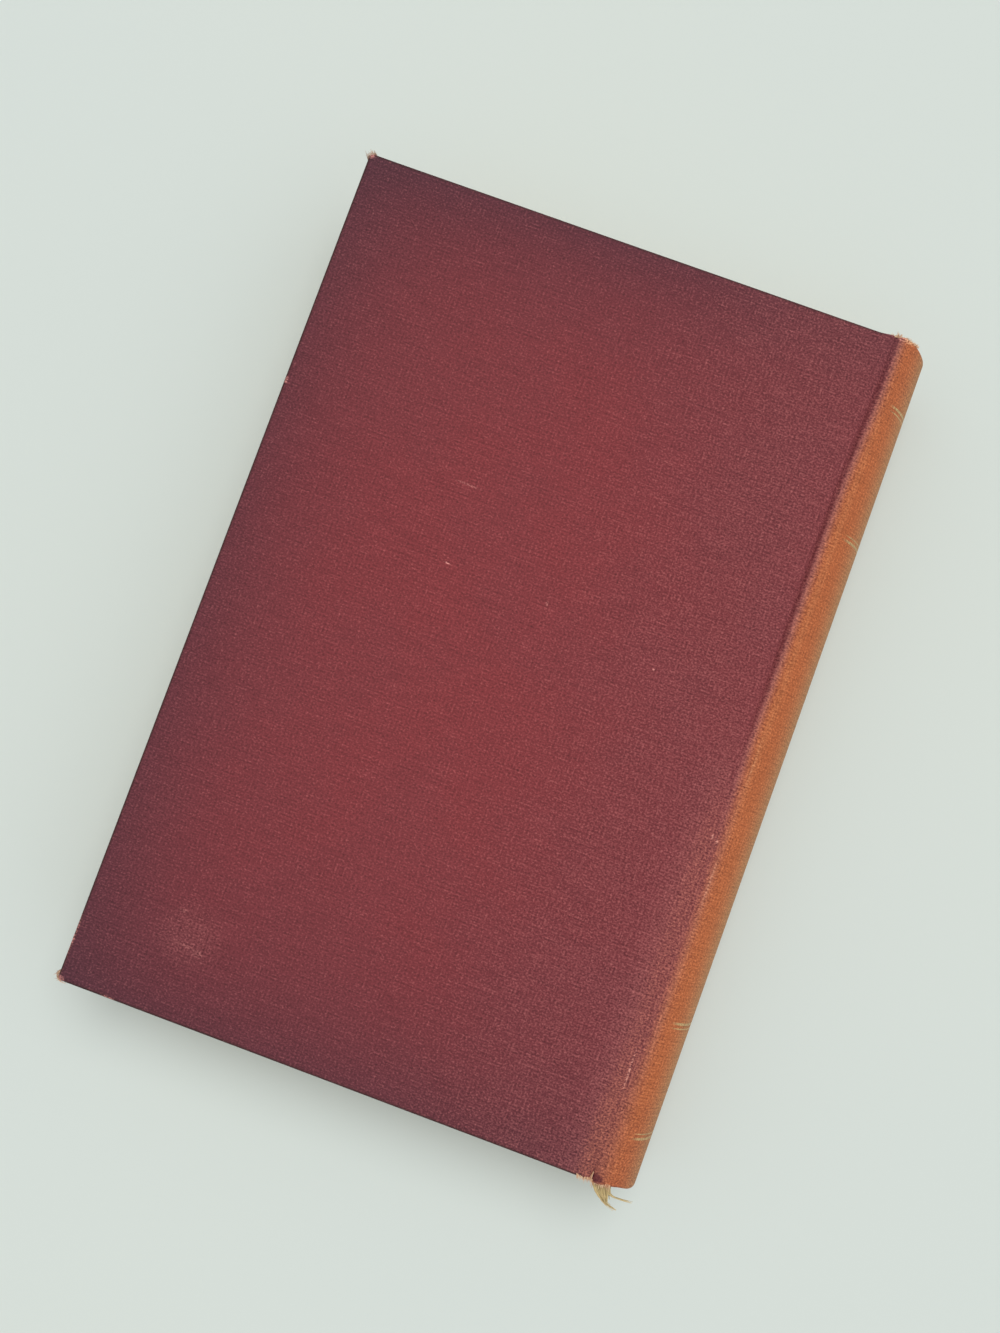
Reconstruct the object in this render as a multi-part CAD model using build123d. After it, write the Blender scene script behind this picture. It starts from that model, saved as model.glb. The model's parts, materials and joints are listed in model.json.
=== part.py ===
from build123d import *
from math import hypot, sqrt
import os

# A cloth-bound hardback lying on its front cover, back cover up.
# +X runs from the fore-edge to the spine, +Y from tail to head, +Z up.

# Driving sizes of the closed book, in millimetres
cover_height = 197.0  # tail to head, over the cloth
fore_edge_to_joint = 124.5  # fore-edge of a cover to the middle of its joint
book_thickness = 24.0  # over both covers
spine_reach = 11.1  # middle of a joint to the crown of the spine

# Thicknesses of the materials
board_thickness = 2.4
cloth_thickness = 0.4
endpaper_thickness = 0.2
mull_thickness = 0.25
liner_thickness = 0.25
inlay_thickness = 0.6

# The joint: a groove along the cover's edge, and the ridge the cover turns around
joint_half_width = 1.9  # middle of the joint to the cover's covered edge
joint_depth = 1.6  # below the cover's outer face
joint_round = 0.6  # radius of the bends into and out of the groove
ridge_reach = 3.1  # middle of the joint to the middle of the ridge
ridge_radius = 1.3
hinge_gap = 0.3  # between the two halves of the hinge cloth

# The leaves
square = 3.2  # overhang of the covers at head, tail and fore-edge
fore_edge_hollow = 5.0  # depth of the rounded-in fore-edge
rest_gap = 0.1  # between a closed cover and the leaf under it
hollow_back = 0.8  # between the spine's card and the paper on the leaves' back
shoulder_run = 3.9  # length over which the outer leaves bend up to the shoulder

# Glued-in strips and sheets
turn_in = 15.0  # cloth folded over the edges of boards and spine card
pastedown_margin = 3.5  # cloth left showing round a pastedown
mull_flange = 25.0  # reach of the open-weave cloth onto a board
mull_shortfall = 14.0  # the same cloth's distance from head and tail of the leaves
liner_shortfall = 2.0
inlay_setback = 1.5  # middle of the ridge to the edge of the spine's card

# Rounding of the covers' rims
corner_round = 0.7
rim_round = 0.4

# Positions that follow from the sizes
half_height = cover_height / 2
middle = book_thickness / 2
fore_edge = -(fore_edge_to_joint + spine_reach) / 2
joint = fore_edge + fore_edge_to_joint
crown = joint + spine_reach
cover_edge = joint - joint_half_width
board_edge = cover_edge - cloth_thickness
cover_thickness = board_thickness + 2 * cloth_thickness + endpaper_thickness
turned_face = book_thickness - board_thickness - 2 * cloth_thickness
board_face = turned_face + cloth_thickness
groove_floor = book_thickness - joint_depth
ridge = joint + ridge_reach
ridge_level = book_thickness - cover_thickness / 2

# The spine's arc touches both ridges from outside and passes through the crown
ridge_to_crown = spine_reach - ridge_reach
ridge_rise = ridge_level - middle
spine_radius = (ridge_to_crown**2 + ridge_rise**2 - ridge_radius**2) / (2 * (ridge_to_crown - ridge_radius))
spine_centre = crown - spine_radius
touch_share = (ridge - spine_centre) / hypot(ridge - spine_centre, ridge_rise)

# Nested arcs inside the spine's cloth
inlay_radius = spine_radius - cloth_thickness
inlay_inside = inlay_radius - inlay_thickness
liner_radius = inlay_inside - hollow_back
mull_radius = liner_radius - liner_thickness
back_radius = mull_radius - mull_thickness
inlay_edge = ridge + inlay_setback

# The block of leaves between the two flyleaves
leaf_top = book_thickness - cover_thickness - rest_gap - endpaper_thickness
leaf_half_height = half_height - square
leaf_fore_edge = fore_edge + square
shoulder_tip = ridge
shoulder_foot = shoulder_tip - shoulder_run
shoulder_level = middle + sqrt(back_radius**2 - (shoulder_tip - spine_centre) ** 2)
mull_half_height = leaf_half_height - mull_shortfall


def slab(x_from, x_to, half_y, z_from, z_to):
    """A block across the middle of the book."""
    centre = Pos((x_from + x_to) / 2, 0, (z_from + z_to) / 2)
    return centre * Box(x_to - x_from, 2 * half_y, z_to - z_from)


def plate(x_from, x_to, z_from, z_to):
    """A rectangle of the book's cross-section."""
    return Pos((x_from + x_to) / 2, (z_from + z_to) / 2) * Rectangle(x_to - x_from, z_to - z_from)


def run(section, y_from, y_to):
    """A cross-section drawn out along the book's height."""
    return extrude(Plane.XZ.offset(-y_to) * section, amount=y_to - y_from)


def flip(shape):
    """The same piece for the front of the book, under the middle."""
    return mirror(shape, about=Plane.XY.offset(middle))


def ring(inside, outside, x_from):
    """The part of a ring about the spine's centre that lies beyond x_from."""
    band = Pos(spine_centre, middle) * (Circle(outside) - Circle(inside))
    return band & plate(x_from, crown + 1, -1, book_thickness + 1)


# Leaves

def page_block():
    """All the leaves as one solid: round back with shoulders, hollow fore-edge."""
    leaf_bottom = book_thickness - leaf_top
    low_shoulder = book_thickness - shoulder_level
    outline = [
        Line((leaf_fore_edge, leaf_top), (shoulder_foot, leaf_top)),
        TangentArc((shoulder_foot, leaf_top), (shoulder_tip, shoulder_level), tangent=(1, 0)),
        ThreePointArc(
            (shoulder_tip, shoulder_level),
            (spine_centre + back_radius, middle),
            (shoulder_tip, low_shoulder),
        ),
        TangentArc((shoulder_foot, leaf_bottom), (shoulder_tip, low_shoulder), tangent=(1, 0)),
        Line((shoulder_foot, leaf_bottom), (leaf_fore_edge, leaf_bottom)),
        ThreePointArc(
            (leaf_fore_edge, leaf_bottom),
            (leaf_fore_edge + fore_edge_hollow, middle),
            (leaf_fore_edge, leaf_top),
        ),
    ]
    return run(make_face(outline), -leaf_half_height, leaf_half_height)


def back_flyleaf():
    """The loose half of the back endpaper, on top of the leaves."""
    return slab(leaf_fore_edge, shoulder_foot, leaf_half_height, leaf_top, leaf_top + endpaper_thickness)


# Spine

def spine_mull():
    """Open-weave cloth glued to the leaves' round back."""
    return run(ring(back_radius, mull_radius, shoulder_tip), -mull_half_height, mull_half_height)


def spine_liner():
    """Paper glued over the open-weave cloth."""
    reach = leaf_half_height - liner_shortfall
    return run(ring(mull_radius, liner_radius, shoulder_tip), -reach, reach)


def spine_inlay():
    """Card that stiffens the spine's cloth."""
    reach = half_height - cloth_thickness
    return run(ring(inlay_inside, inlay_radius, inlay_edge), -reach, reach)


def spine_section(inset):
    """Everything inside the spine's outer face, drawn in by inset."""
    touch = ridge + (ridge_radius - inset) * touch_share
    bead = Circle(ridge_radius - inset)
    body = plate(joint + hinge_gap / 2, touch, joint_depth + inset, groove_floor - inset)
    body += Pos(ridge, ridge_level) * bead
    body += Pos(ridge, book_thickness - ridge_level) * bead
    disc = Pos(spine_centre, middle) * Circle(spine_radius - inset)
    return body + (disc & plate(touch, crown + 1, -1, book_thickness + 1))


def spine_cloth():
    """The middle of the covering cloth: over both ridges, turned in at head and tail."""
    skin = run(spine_section(0) - spine_section(cloth_thickness), -half_height, half_height)
    fold = inlay_inside - cloth_thickness
    cap = ring(fold, spine_radius, inlay_edge)
    tuck = ring(fold, inlay_inside, inlay_edge)
    card_end = half_height - cloth_thickness
    for side in (1, -1):
        ends = sorted((side * card_end, side * half_height))
        skin += run(cap, *ends)
        reach = sorted((side * (half_height - turn_in), side * card_end))
        skin += run(tuck, *reach)
    return skin


# Covers

def board():
    """Stiff board inside the back cover, its edge at the joint eased for the cloth."""
    reach = half_height - cloth_thickness
    top = board_face + board_thickness
    blank = slab(fore_edge + cloth_thickness, board_edge, reach, board_face, top)
    at_joint = blank.edges().filter_by(Axis.Y).sort_by(lambda e: e.center().X + e.center().Z)[-1]
    return fillet(at_joint, joint_round - cloth_thickness)


def cloth_section(inset, far_end):
    """Outline of the covered board with the step down into the groove, drawn in by inset."""
    top = book_thickness - inset
    floor = groove_floor - inset
    step = cover_edge - inset
    low = turned_face + inset
    corners = [
        (fore_edge + inset, low),
        (fore_edge + inset, top),
        (step, top),
        (step, floor),
        (far_end, floor),
        (far_end, low),
    ]
    section = make_face(Polyline(*corners, close=True))
    upper = section.vertices().filter_by(lambda v: abs(v.Y - top) < 1e-6 and abs(v.X - step) < 1e-6)
    section = fillet(upper, joint_round - inset)
    lower = section.vertices().filter_by(lambda v: abs(v.Y - floor) < 1e-6 and abs(v.X - step) < 1e-6)
    return fillet(lower, joint_round + inset)


def cover_cloth():
    """The covering cloth of the back cover, turned in over the board's three free edges."""
    skin = run(cloth_section(0, joint - hinge_gap / 2), -half_height, half_height)
    at_fore_edge = skin.edges().filter_by(Axis.Z).filter_by(lambda e: abs(e.center().X - fore_edge) < 1e-6)
    skin = fillet(at_fore_edge, corner_round)
    for level, end in ((book_thickness, cover_edge - joint_round), (turned_face, joint)):
        rim = skin.edges().filter_by(
            lambda e: abs(e.bounding_box().min.Z - level) < 1e-6
            and abs(e.bounding_box().max.Z - level) < 1e-6
            and e.center().X < end - 1e-6
        )
        skin = fillet(rim, rim_round)
    reach = half_height - cloth_thickness
    skin -= run(cloth_section(cloth_thickness, joint + 1), -reach, reach)
    window = half_height - turn_in
    skin -= slab(fore_edge + turn_in, joint + 1, window, turned_face - 1, board_face)
    skin -= slab(board_edge, joint + 1, half_height + 1, turned_face - 1, groove_floor - cloth_thickness)
    return skin


def flange():
    """The open-weave cloth's reach over the joint onto the back board's inner face."""
    return slab(board_edge - mull_flange, board_edge, mull_half_height, board_face - mull_thickness, board_face)


def pastedown():
    """The glued half of the back endpaper, following the steps of what lies under it."""
    outer = fore_edge + pastedown_margin
    reach = half_height - pastedown_margin
    low = turned_face - endpaper_thickness
    sheet = slab(outer, board_edge, reach, low, board_face)
    sheet -= slab(outer - 1, fore_edge + turn_in, reach + 1, turned_face, board_face + 1)
    window = half_height - turn_in
    for side in (1, -1):
        fold = slab(outer - 1, board_edge + 1, turn_in, turned_face, board_face + 1)
        sheet -= Pos(0, side * (window + turn_in), 0) * fold
    sheet -= flange()
    paper = endpaper_thickness
    over_board = board_face - paper
    over_mull = over_board - mull_thickness
    mull_start = board_edge - mull_flange - paper
    inner = fore_edge + turn_in + paper
    sheet -= slab(inner, board_edge + 1, window - paper, low - 1, over_mull)
    sheet -= slab(inner, mull_start, window - paper, low - 1, over_board)
    beside = (window - paper - mull_half_height - paper) / 2
    for side in (1, -1):
        strip = slab(mull_start - 1, board_edge + 1, beside, low - 1, over_board)
        sheet -= Pos(0, side * (mull_half_height + paper + beside), 0) * strip
    return sheet


os.makedirs("parts", exist_ok=True)

export_step(page_block(), "parts/page_block.step")
export_step(spine_mull(), "parts/spine_mull.step")
export_step(spine_liner(), "parts/spine_liner.step")
export_step(spine_inlay(), "parts/spine_inlay.step")
export_step(spine_cloth(), "parts/spine_cloth.step")

upper_pieces = {
    "flyleaf": back_flyleaf(),
    "board": board(),
    "cloth": cover_cloth(),
    "mull_flange": flange(),
    "pastedown": pastedown(),
}
for name, piece in upper_pieces.items():
    export_step(piece, f"parts/back_{name}.step")
    export_step(flip(piece), f"parts/front_{name}.step")
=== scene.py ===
import json
import logging
import math
import random
from dataclasses import dataclass, field
from enum import Enum
from functools import partial, reduce
from typing import Any, Callable, Iterator, Mapping, Optional, Sequence

import bmesh
import bpy
from mathutils import Matrix, Vector, noise
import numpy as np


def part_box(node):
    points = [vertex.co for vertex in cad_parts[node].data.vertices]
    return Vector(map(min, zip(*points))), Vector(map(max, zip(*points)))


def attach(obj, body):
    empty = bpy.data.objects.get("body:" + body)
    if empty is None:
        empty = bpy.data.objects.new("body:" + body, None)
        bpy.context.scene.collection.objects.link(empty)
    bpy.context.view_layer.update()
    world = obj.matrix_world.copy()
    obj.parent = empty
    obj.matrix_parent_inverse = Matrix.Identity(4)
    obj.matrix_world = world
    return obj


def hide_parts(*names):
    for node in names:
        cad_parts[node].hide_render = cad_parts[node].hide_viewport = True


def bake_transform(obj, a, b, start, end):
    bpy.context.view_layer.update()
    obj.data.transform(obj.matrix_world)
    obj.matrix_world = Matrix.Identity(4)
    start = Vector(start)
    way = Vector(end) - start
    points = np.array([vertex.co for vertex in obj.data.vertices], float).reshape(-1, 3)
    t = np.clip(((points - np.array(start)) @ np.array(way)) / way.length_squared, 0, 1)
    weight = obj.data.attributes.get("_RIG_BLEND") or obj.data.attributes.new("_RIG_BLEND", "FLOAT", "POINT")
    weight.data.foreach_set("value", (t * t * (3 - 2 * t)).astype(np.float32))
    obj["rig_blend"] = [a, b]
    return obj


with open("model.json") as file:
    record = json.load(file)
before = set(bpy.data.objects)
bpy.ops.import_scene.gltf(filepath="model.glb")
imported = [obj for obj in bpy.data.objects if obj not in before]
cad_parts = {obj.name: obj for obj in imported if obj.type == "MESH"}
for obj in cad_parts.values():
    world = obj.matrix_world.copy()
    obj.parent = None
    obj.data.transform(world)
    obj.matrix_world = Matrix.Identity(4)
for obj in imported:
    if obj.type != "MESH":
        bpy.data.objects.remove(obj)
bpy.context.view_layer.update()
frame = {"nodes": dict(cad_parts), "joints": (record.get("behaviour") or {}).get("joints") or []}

# A cloth-bound hardback lying on its front cover, back cover up.
# Sizes are in millimetres until a mesh is finished: +X runs from the fore-edge to the
# spine, +Y from tail to head, +Z up.
MM = 0.001
LOG = logging.getLogger("hardback")
TEXT_BLOCK = "text_block"

Span = tuple[float, float]
Point = tuple[float, float, float]
AddNode = Callable[..., Any]


# Small helpers

def linear(hexadecimal: str) -> tuple[float, float, float, float]:
    """Turns an sRGB hex colour into linear RGBA.

    Args:
        hexadecimal: six hex digits, with or without a leading #.

    Returns:
        Linear red, green, blue and an alpha of 1.
    """
    digits = hexadecimal.lstrip("#")
    shares = [int(digits[i:i + 2], 16) / 255 for i in (0, 2, 4)]
    light = [s / 12.92 if s <= 0.04045 else ((s + 0.055) / 1.055) ** 2.4 for s in shares]
    return (*light, 1.0)


def ease(low: float, high: float, value: float) -> float:
    """A smooth step from 0 at low to 1 at high."""
    share = min(1.0, max(0.0, (value - low) / (high - low)))
    return share * share * (3 - 2 * share)


def mix(start: float, end: float, share: float) -> float:
    """The value a share of the way from start to end."""
    return start + (end - start) * share


def spaced(start: float, end: float, count: int) -> list[float]:
    """Even steps from a start, which isn't among them, to an end, which is."""
    return [mix(start, end, k / count) for k in range(1, count + 1)]


def bell(distance: float, width: float) -> float:
    """A hump of height 1 over a line, at a distance from it."""
    return math.exp(-((distance / width) ** 2))


def arc(x: float, z: float, radius: float, start: float, end: float, steps: int) -> list[Vector]:
    """Points of an arc in the book's cross-section.

    Args:
        x: centre of the arc across the book.
        z: height of its centre.
        radius: its radius.
        start: first angle in degrees, from +X towards +Z.
        end: last angle.
        steps: number of chords.

    Returns:
        The points, both ends among them.
    """
    angles = [math.radians(mix(start, end, k / steps)) for k in range(steps + 1)]
    return [Vector((x + radius * math.cos(a), z + radius * math.sin(a))) for a in angles]


def ripple(x: float, y: float, wave: float, seed: float) -> float:
    """Smooth unevenness between -1 and 1 with humps about a wave apart."""
    return noise.noise(Vector((x / wave, y / wave, seed)))


def in_mm(place: Sequence[float]) -> Point:
    """A place of the frame in millimetres, to the micrometre."""
    return tuple(round(value / MM, 3) for value in place)


class Side(Enum):
    """The book's two halves: the back cover lies on top, the front one underneath."""

    BACK = "back"
    FRONT = "front"

    @property
    def up(self) -> int:
        """1 where the outer face looks up, -1 where it looks down."""
        return 1 if self is Side.BACK else -1

    @property
    def cover(self) -> str:
        """The body that this half's cover moves with."""
        return f"{self.value}_cover"

    def place(self, x: float, y: float, z: float) -> Vector:
        """A point given for the back half, in its place on this half."""
        return Vector((x, y, z if self is Side.BACK else BOOK.thickness - z))


@dataclass(frozen=True)
class BookSizes:
    """Main sizes of the closed book, as its solids have them."""

    half_height: float
    fore_edge: float
    thickness: float
    turned_face: float  # level of the cloth turned in behind a board
    board_edge: float
    ridge_x: float
    ridge_z: float
    leaf_fore_edge: float
    leaf_half_height: float
    leaf_top: float
    shoulder_foot: float  # where the leaves begin to bend up to the shoulder
    endpaper: float
    mull_start: float
    mull_half_height: float
    pastedown_margin: float
    board_shoulder: float = 54.2  # where the cloth leaves the board for the joint
    groove_floor: float = 22.4
    ridge_radius: float = 1.3
    spine_x: float = 55.233
    spine_radius: float = 12.567
    fore_edge_hollow: float = 5.0
    shoulder_rise: float = 0.9
    back_radius: float = 10.27
    turn_in: float = 15.0
    hinge_start: float = 59.3
    hinge_end: float = 54.8

    @property
    def middle(self) -> float:
        """Half the book's thickness."""
        return self.thickness / 2

    @property
    def window(self) -> float:
        """Half the height that the turned-in cloth leaves bare behind a board."""
        return self.half_height - self.turn_in

    @property
    def fold_x(self) -> float:
        """Where the cloth turned in at the fore-edge ends."""
        return self.fore_edge + self.turn_in

    @classmethod
    def from_frame(cls) -> "BookSizes":
        """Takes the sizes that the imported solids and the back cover's hinge give.

        Returns:
            All sizes of the book.
        """
        names = ("back_cloth", "page_block", "back_flyleaf", "back_mull_flange", "back_pastedown")
        cloth, leaves, flyleaf, flange, pastedown = (
            [in_mm(corner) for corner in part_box(name)] for name in names)
        hinge = next(j for j in frame["joints"] if j["name"] == "back_cover_hinge")
        ridge_x, _, ridge_z = in_mm(hinge["pos_m"])
        fore_edge, _, turned_face = cloth[0]
        _, half_height, thickness = cloth[1]
        _, _, leaf_top = flyleaf[0]
        shoulder_foot, _, fly_top = flyleaf[1]
        board_edge, mull_half_height, _ = flange[1]
        return cls(
            half_height=half_height, fore_edge=fore_edge, thickness=thickness, turned_face=turned_face,
            board_edge=board_edge, ridge_x=ridge_x, ridge_z=ridge_z, leaf_fore_edge=leaves[0][0],
            leaf_half_height=leaves[1][1], leaf_top=leaf_top, shoulder_foot=shoulder_foot,
            endpaper=round(fly_top - leaf_top, 3), mull_start=flange[0][0],
            mull_half_height=mull_half_height, pastedown_margin=round(pastedown[0][0] - fore_edge, 3))


BOOK = BookSizes.from_frame()


def add_piece(bm: bmesh.types.BMesh, name: str, material: bpy.types.Material,
              crease: float = 40.0) -> bpy.types.Object:
    """Makes a scene object in metres from a mesh worked in millimetres.

    Args:
        bm: the worked mesh, which is freed.
        name: name of the piece.
        material: its finish.
        crease: angle in degrees past which an edge stays sharp.

    Returns:
        The new object, at the origin.
    """
    for edge in bm.edges:
        edge.smooth = not edge.is_boundary
    bmesh.ops.scale(bm, vec=(MM, MM, MM), verts=bm.verts)
    mesh = bpy.data.meshes.new(name)
    bm.to_mesh(mesh)
    bm.free()
    mesh.polygons.foreach_set("use_smooth", [True] * len(mesh.polygons))
    sharp = [e.use_edge_sharp for e in mesh.edges]
    mesh.set_sharp_from_angle(angle=math.radians(crease))
    for edge, kept in zip(mesh.edges, sharp):
        edge.use_edge_sharp = edge.use_edge_sharp or kept
    mesh.materials.append(material)
    piece = bpy.data.objects.new(name, mesh)
    bpy.context.scene.collection.objects.link(piece)
    return piece


def give_thickness(piece: bpy.types.Object, thickness: float) -> None:
    """Gives a sheet its thickness, behind the face that shows.

    Args:
        piece: the sheet.
        thickness: its thickness in millimetres.
    """
    solid = piece.modifiers.new("sheet_thickness", "SOLIDIFY")
    solid.thickness = thickness * MM
    solid.offset = -1.0
    solid.use_even_offset = True


def bend_with_cover(piece: bpy.types.Object, side: Side) -> None:
    """Lets a piece that crosses a joint turn with the cover, as the glued cloth does.

    Args:
        piece: cloth, paper or threads over the joint.
        side: the half whose cover it turns with.
    """
    level = side.place(0, 0, BOOK.ridge_z).z * MM
    start = (BOOK.hinge_start * MM, 0.0, level)
    end = (BOOK.hinge_end * MM, 0.0, level)
    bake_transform(piece, TEXT_BLOCK, side.cover, start=start, end=end)


def face_out(bm: bmesh.types.BMesh, towards: Vector, near: Vector) -> None:
    """Turns a sheet's faces so that the one nearest a point looks a given way.

    Args:
        bm: the sheet's mesh.
        towards: the way that face has to look.
        near: the point.
    """
    bmesh.ops.recalc_face_normals(bm, faces=bm.faces)
    probe = min(bm.faces, key=lambda f: (f.calc_center_median() - near).length)
    if probe.normal.dot(towards) < 0:
        bmesh.ops.reverse_faces(bm, faces=bm.faces)


def lay_grid(bm: bmesh.types.BMesh, columns: int, rows: int) -> list[list[bmesh.types.BMVert]]:
    """Adds a grid of vertices to be laid out.

    Args:
        bm: mesh to add to.
        columns: vertices across.
        rows: vertices along.

    Returns:
        The vertices, as a list of columns.
    """
    made = bmesh.ops.create_grid(bm, x_segments=columns - 1, y_segments=rows - 1, size=1.0)
    table: list[list[Any]] = [[None] * rows for _ in range(columns)]
    for vert in made["verts"]:
        i = round((vert.co.x + 1) / 2 * (columns - 1))
        j = round((vert.co.y + 1) / 2 * (rows - 1))
        table[i][j] = vert
    return table


class GrownMesh:
    """A mesh that starts as a grid and grows ring by ring from its border.

    Each vertex keeps the numbers of the column and the row that it grew from.
    """

    def __init__(self) -> None:
        """Starts with an empty mesh."""
        self.bm = bmesh.new()
        self.column = self.bm.verts.layers.int.new("column")
        self.row = self.bm.verts.layers.int.new("row")
        self.border: list[bmesh.types.BMEdge] = []

    def lay(self, columns: int, rows: int) -> Iterator[tuple[int, int, bmesh.types.BMVert]]:
        """Adds a numbered grid.

        Args:
            columns: vertices across.
            rows: vertices along.

        Returns:
            Column, row and vertex, one after the other.
        """
        for i, line in enumerate(lay_grid(self.bm, columns, rows)):
            for j, vert in enumerate(line):
                vert[self.column], vert[self.row] = i, j
                yield i, j, vert

    def grow(self) -> Iterator[tuple[int, int, bmesh.types.BMVert]]:
        """Adds a ring of faces round the border, which then lies on the new ring.

        Returns:
            Column, row and vertex of the new ring, one after the other.
        """
        made = bmesh.ops.extrude_edge_only(self.bm, edges=self.border)["geom"]
        edges = [g for g in made if isinstance(g, bmesh.types.BMEdge) and g.is_boundary]
        self.border = [e for e in edges if len({(v[self.column], v[self.row]) for v in e.verts}) == 2]
        for vert in (g for g in made if isinstance(g, bmesh.types.BMVert)):
            yield vert[self.column], vert[self.row], vert

    def drop_numbers(self) -> None:
        """Forgets the numbers of columns and rows."""
        for name in ("column", "row"):
            self.bm.verts.layers.int.remove(self.bm.verts.layers.int[name])


# Finishes

def wire(tree: bpy.types.NodeTree, kind: str, *values: Any, out: Any = 0,
         named: Optional[Mapping[str, Any]] = None, **settings: Any) -> Optional[bpy.types.NodeSocket]:
    """Adds one node with its settings and links.

    Args:
        tree: the tree that the node goes into.
        kind: the node's type, without its ShaderNode prefix.
        *values: a value or another node's socket for each of the first inputs.
        out: the output that is handed back.
        named: the same for inputs by name.
        **settings: the node's own settings.

    Returns:
        That output socket, or None where the node has none.
    """
    node = tree.nodes.new(f"ShaderNode{kind}")
    for key, value in settings.items():
        setattr(node, key, value)
    for key, value in [*enumerate(values), *(named or {}).items()]:
        if isinstance(value, bpy.types.NodeSocket):
            tree.links.new(value, node.inputs[key])
        else:
            node.inputs[key].default_value = value
    return node.outputs[out] if node.outputs else None


class Finish:
    """A material with one surface shader, wired from its own colours and sizes."""

    name: str

    def inputs(self, add: AddNode) -> dict[str, Any]:
        """What this finish feeds its surface shader."""
        raise NotImplementedError

    def build(self) -> bpy.types.Material:
        """Makes the material.

        Returns:
            The material, with its nodes wired.
        """
        material = bpy.data.materials.new(self.name)
        material.use_nodes = True
        material.node_tree.nodes.clear()
        add = partial(wire, material.node_tree)
        add("OutputMaterial", add("BsdfPrincipled", named=self.inputs(add)))
        return material


@dataclass(frozen=True)
class WearMark:
    """A rubbed or nicked place on the back cover, as an ellipse."""

    x: float
    y: float
    length: float
    width: float
    turn: float = 0.0
    strength: float = 1.0

    def shown(self, add: AddNode, lay: bpy.types.NodeSocket, rim: Span) -> bpy.types.NodeSocket:
        """Wires how strongly the mark shows.

        Args:
            add: adds a node to the cloth's material.
            lay: places on the flat cloth.
            rim: shares of the way in where the mark begins and is full.

        Returns:
            Its strength at each place.
        """
        placed = add("Mapping", lay, (self.x, self.y, 0.0), (0.0, 0.0, math.radians(self.turn)),
                     (self.length, self.width, 1.0), vector_type="TEXTURE")
        inwards = add("TexGradient", placed, out="Fac", gradient_type="SPHERICAL")
        return add("MapRange", inwards, *rim, 0.0, self.strength, interpolation_type="SMOOTHSTEP")


# What the cloth's mesh notes for its material at each place, from 0 to 1; the rims' note is dirt and painted
# shade
WEAR_NOTES = ("sun_fade", "edge_tone", "joint_press", "rim_rub", "rim_soil_and_shade", "thread_rub")


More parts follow.
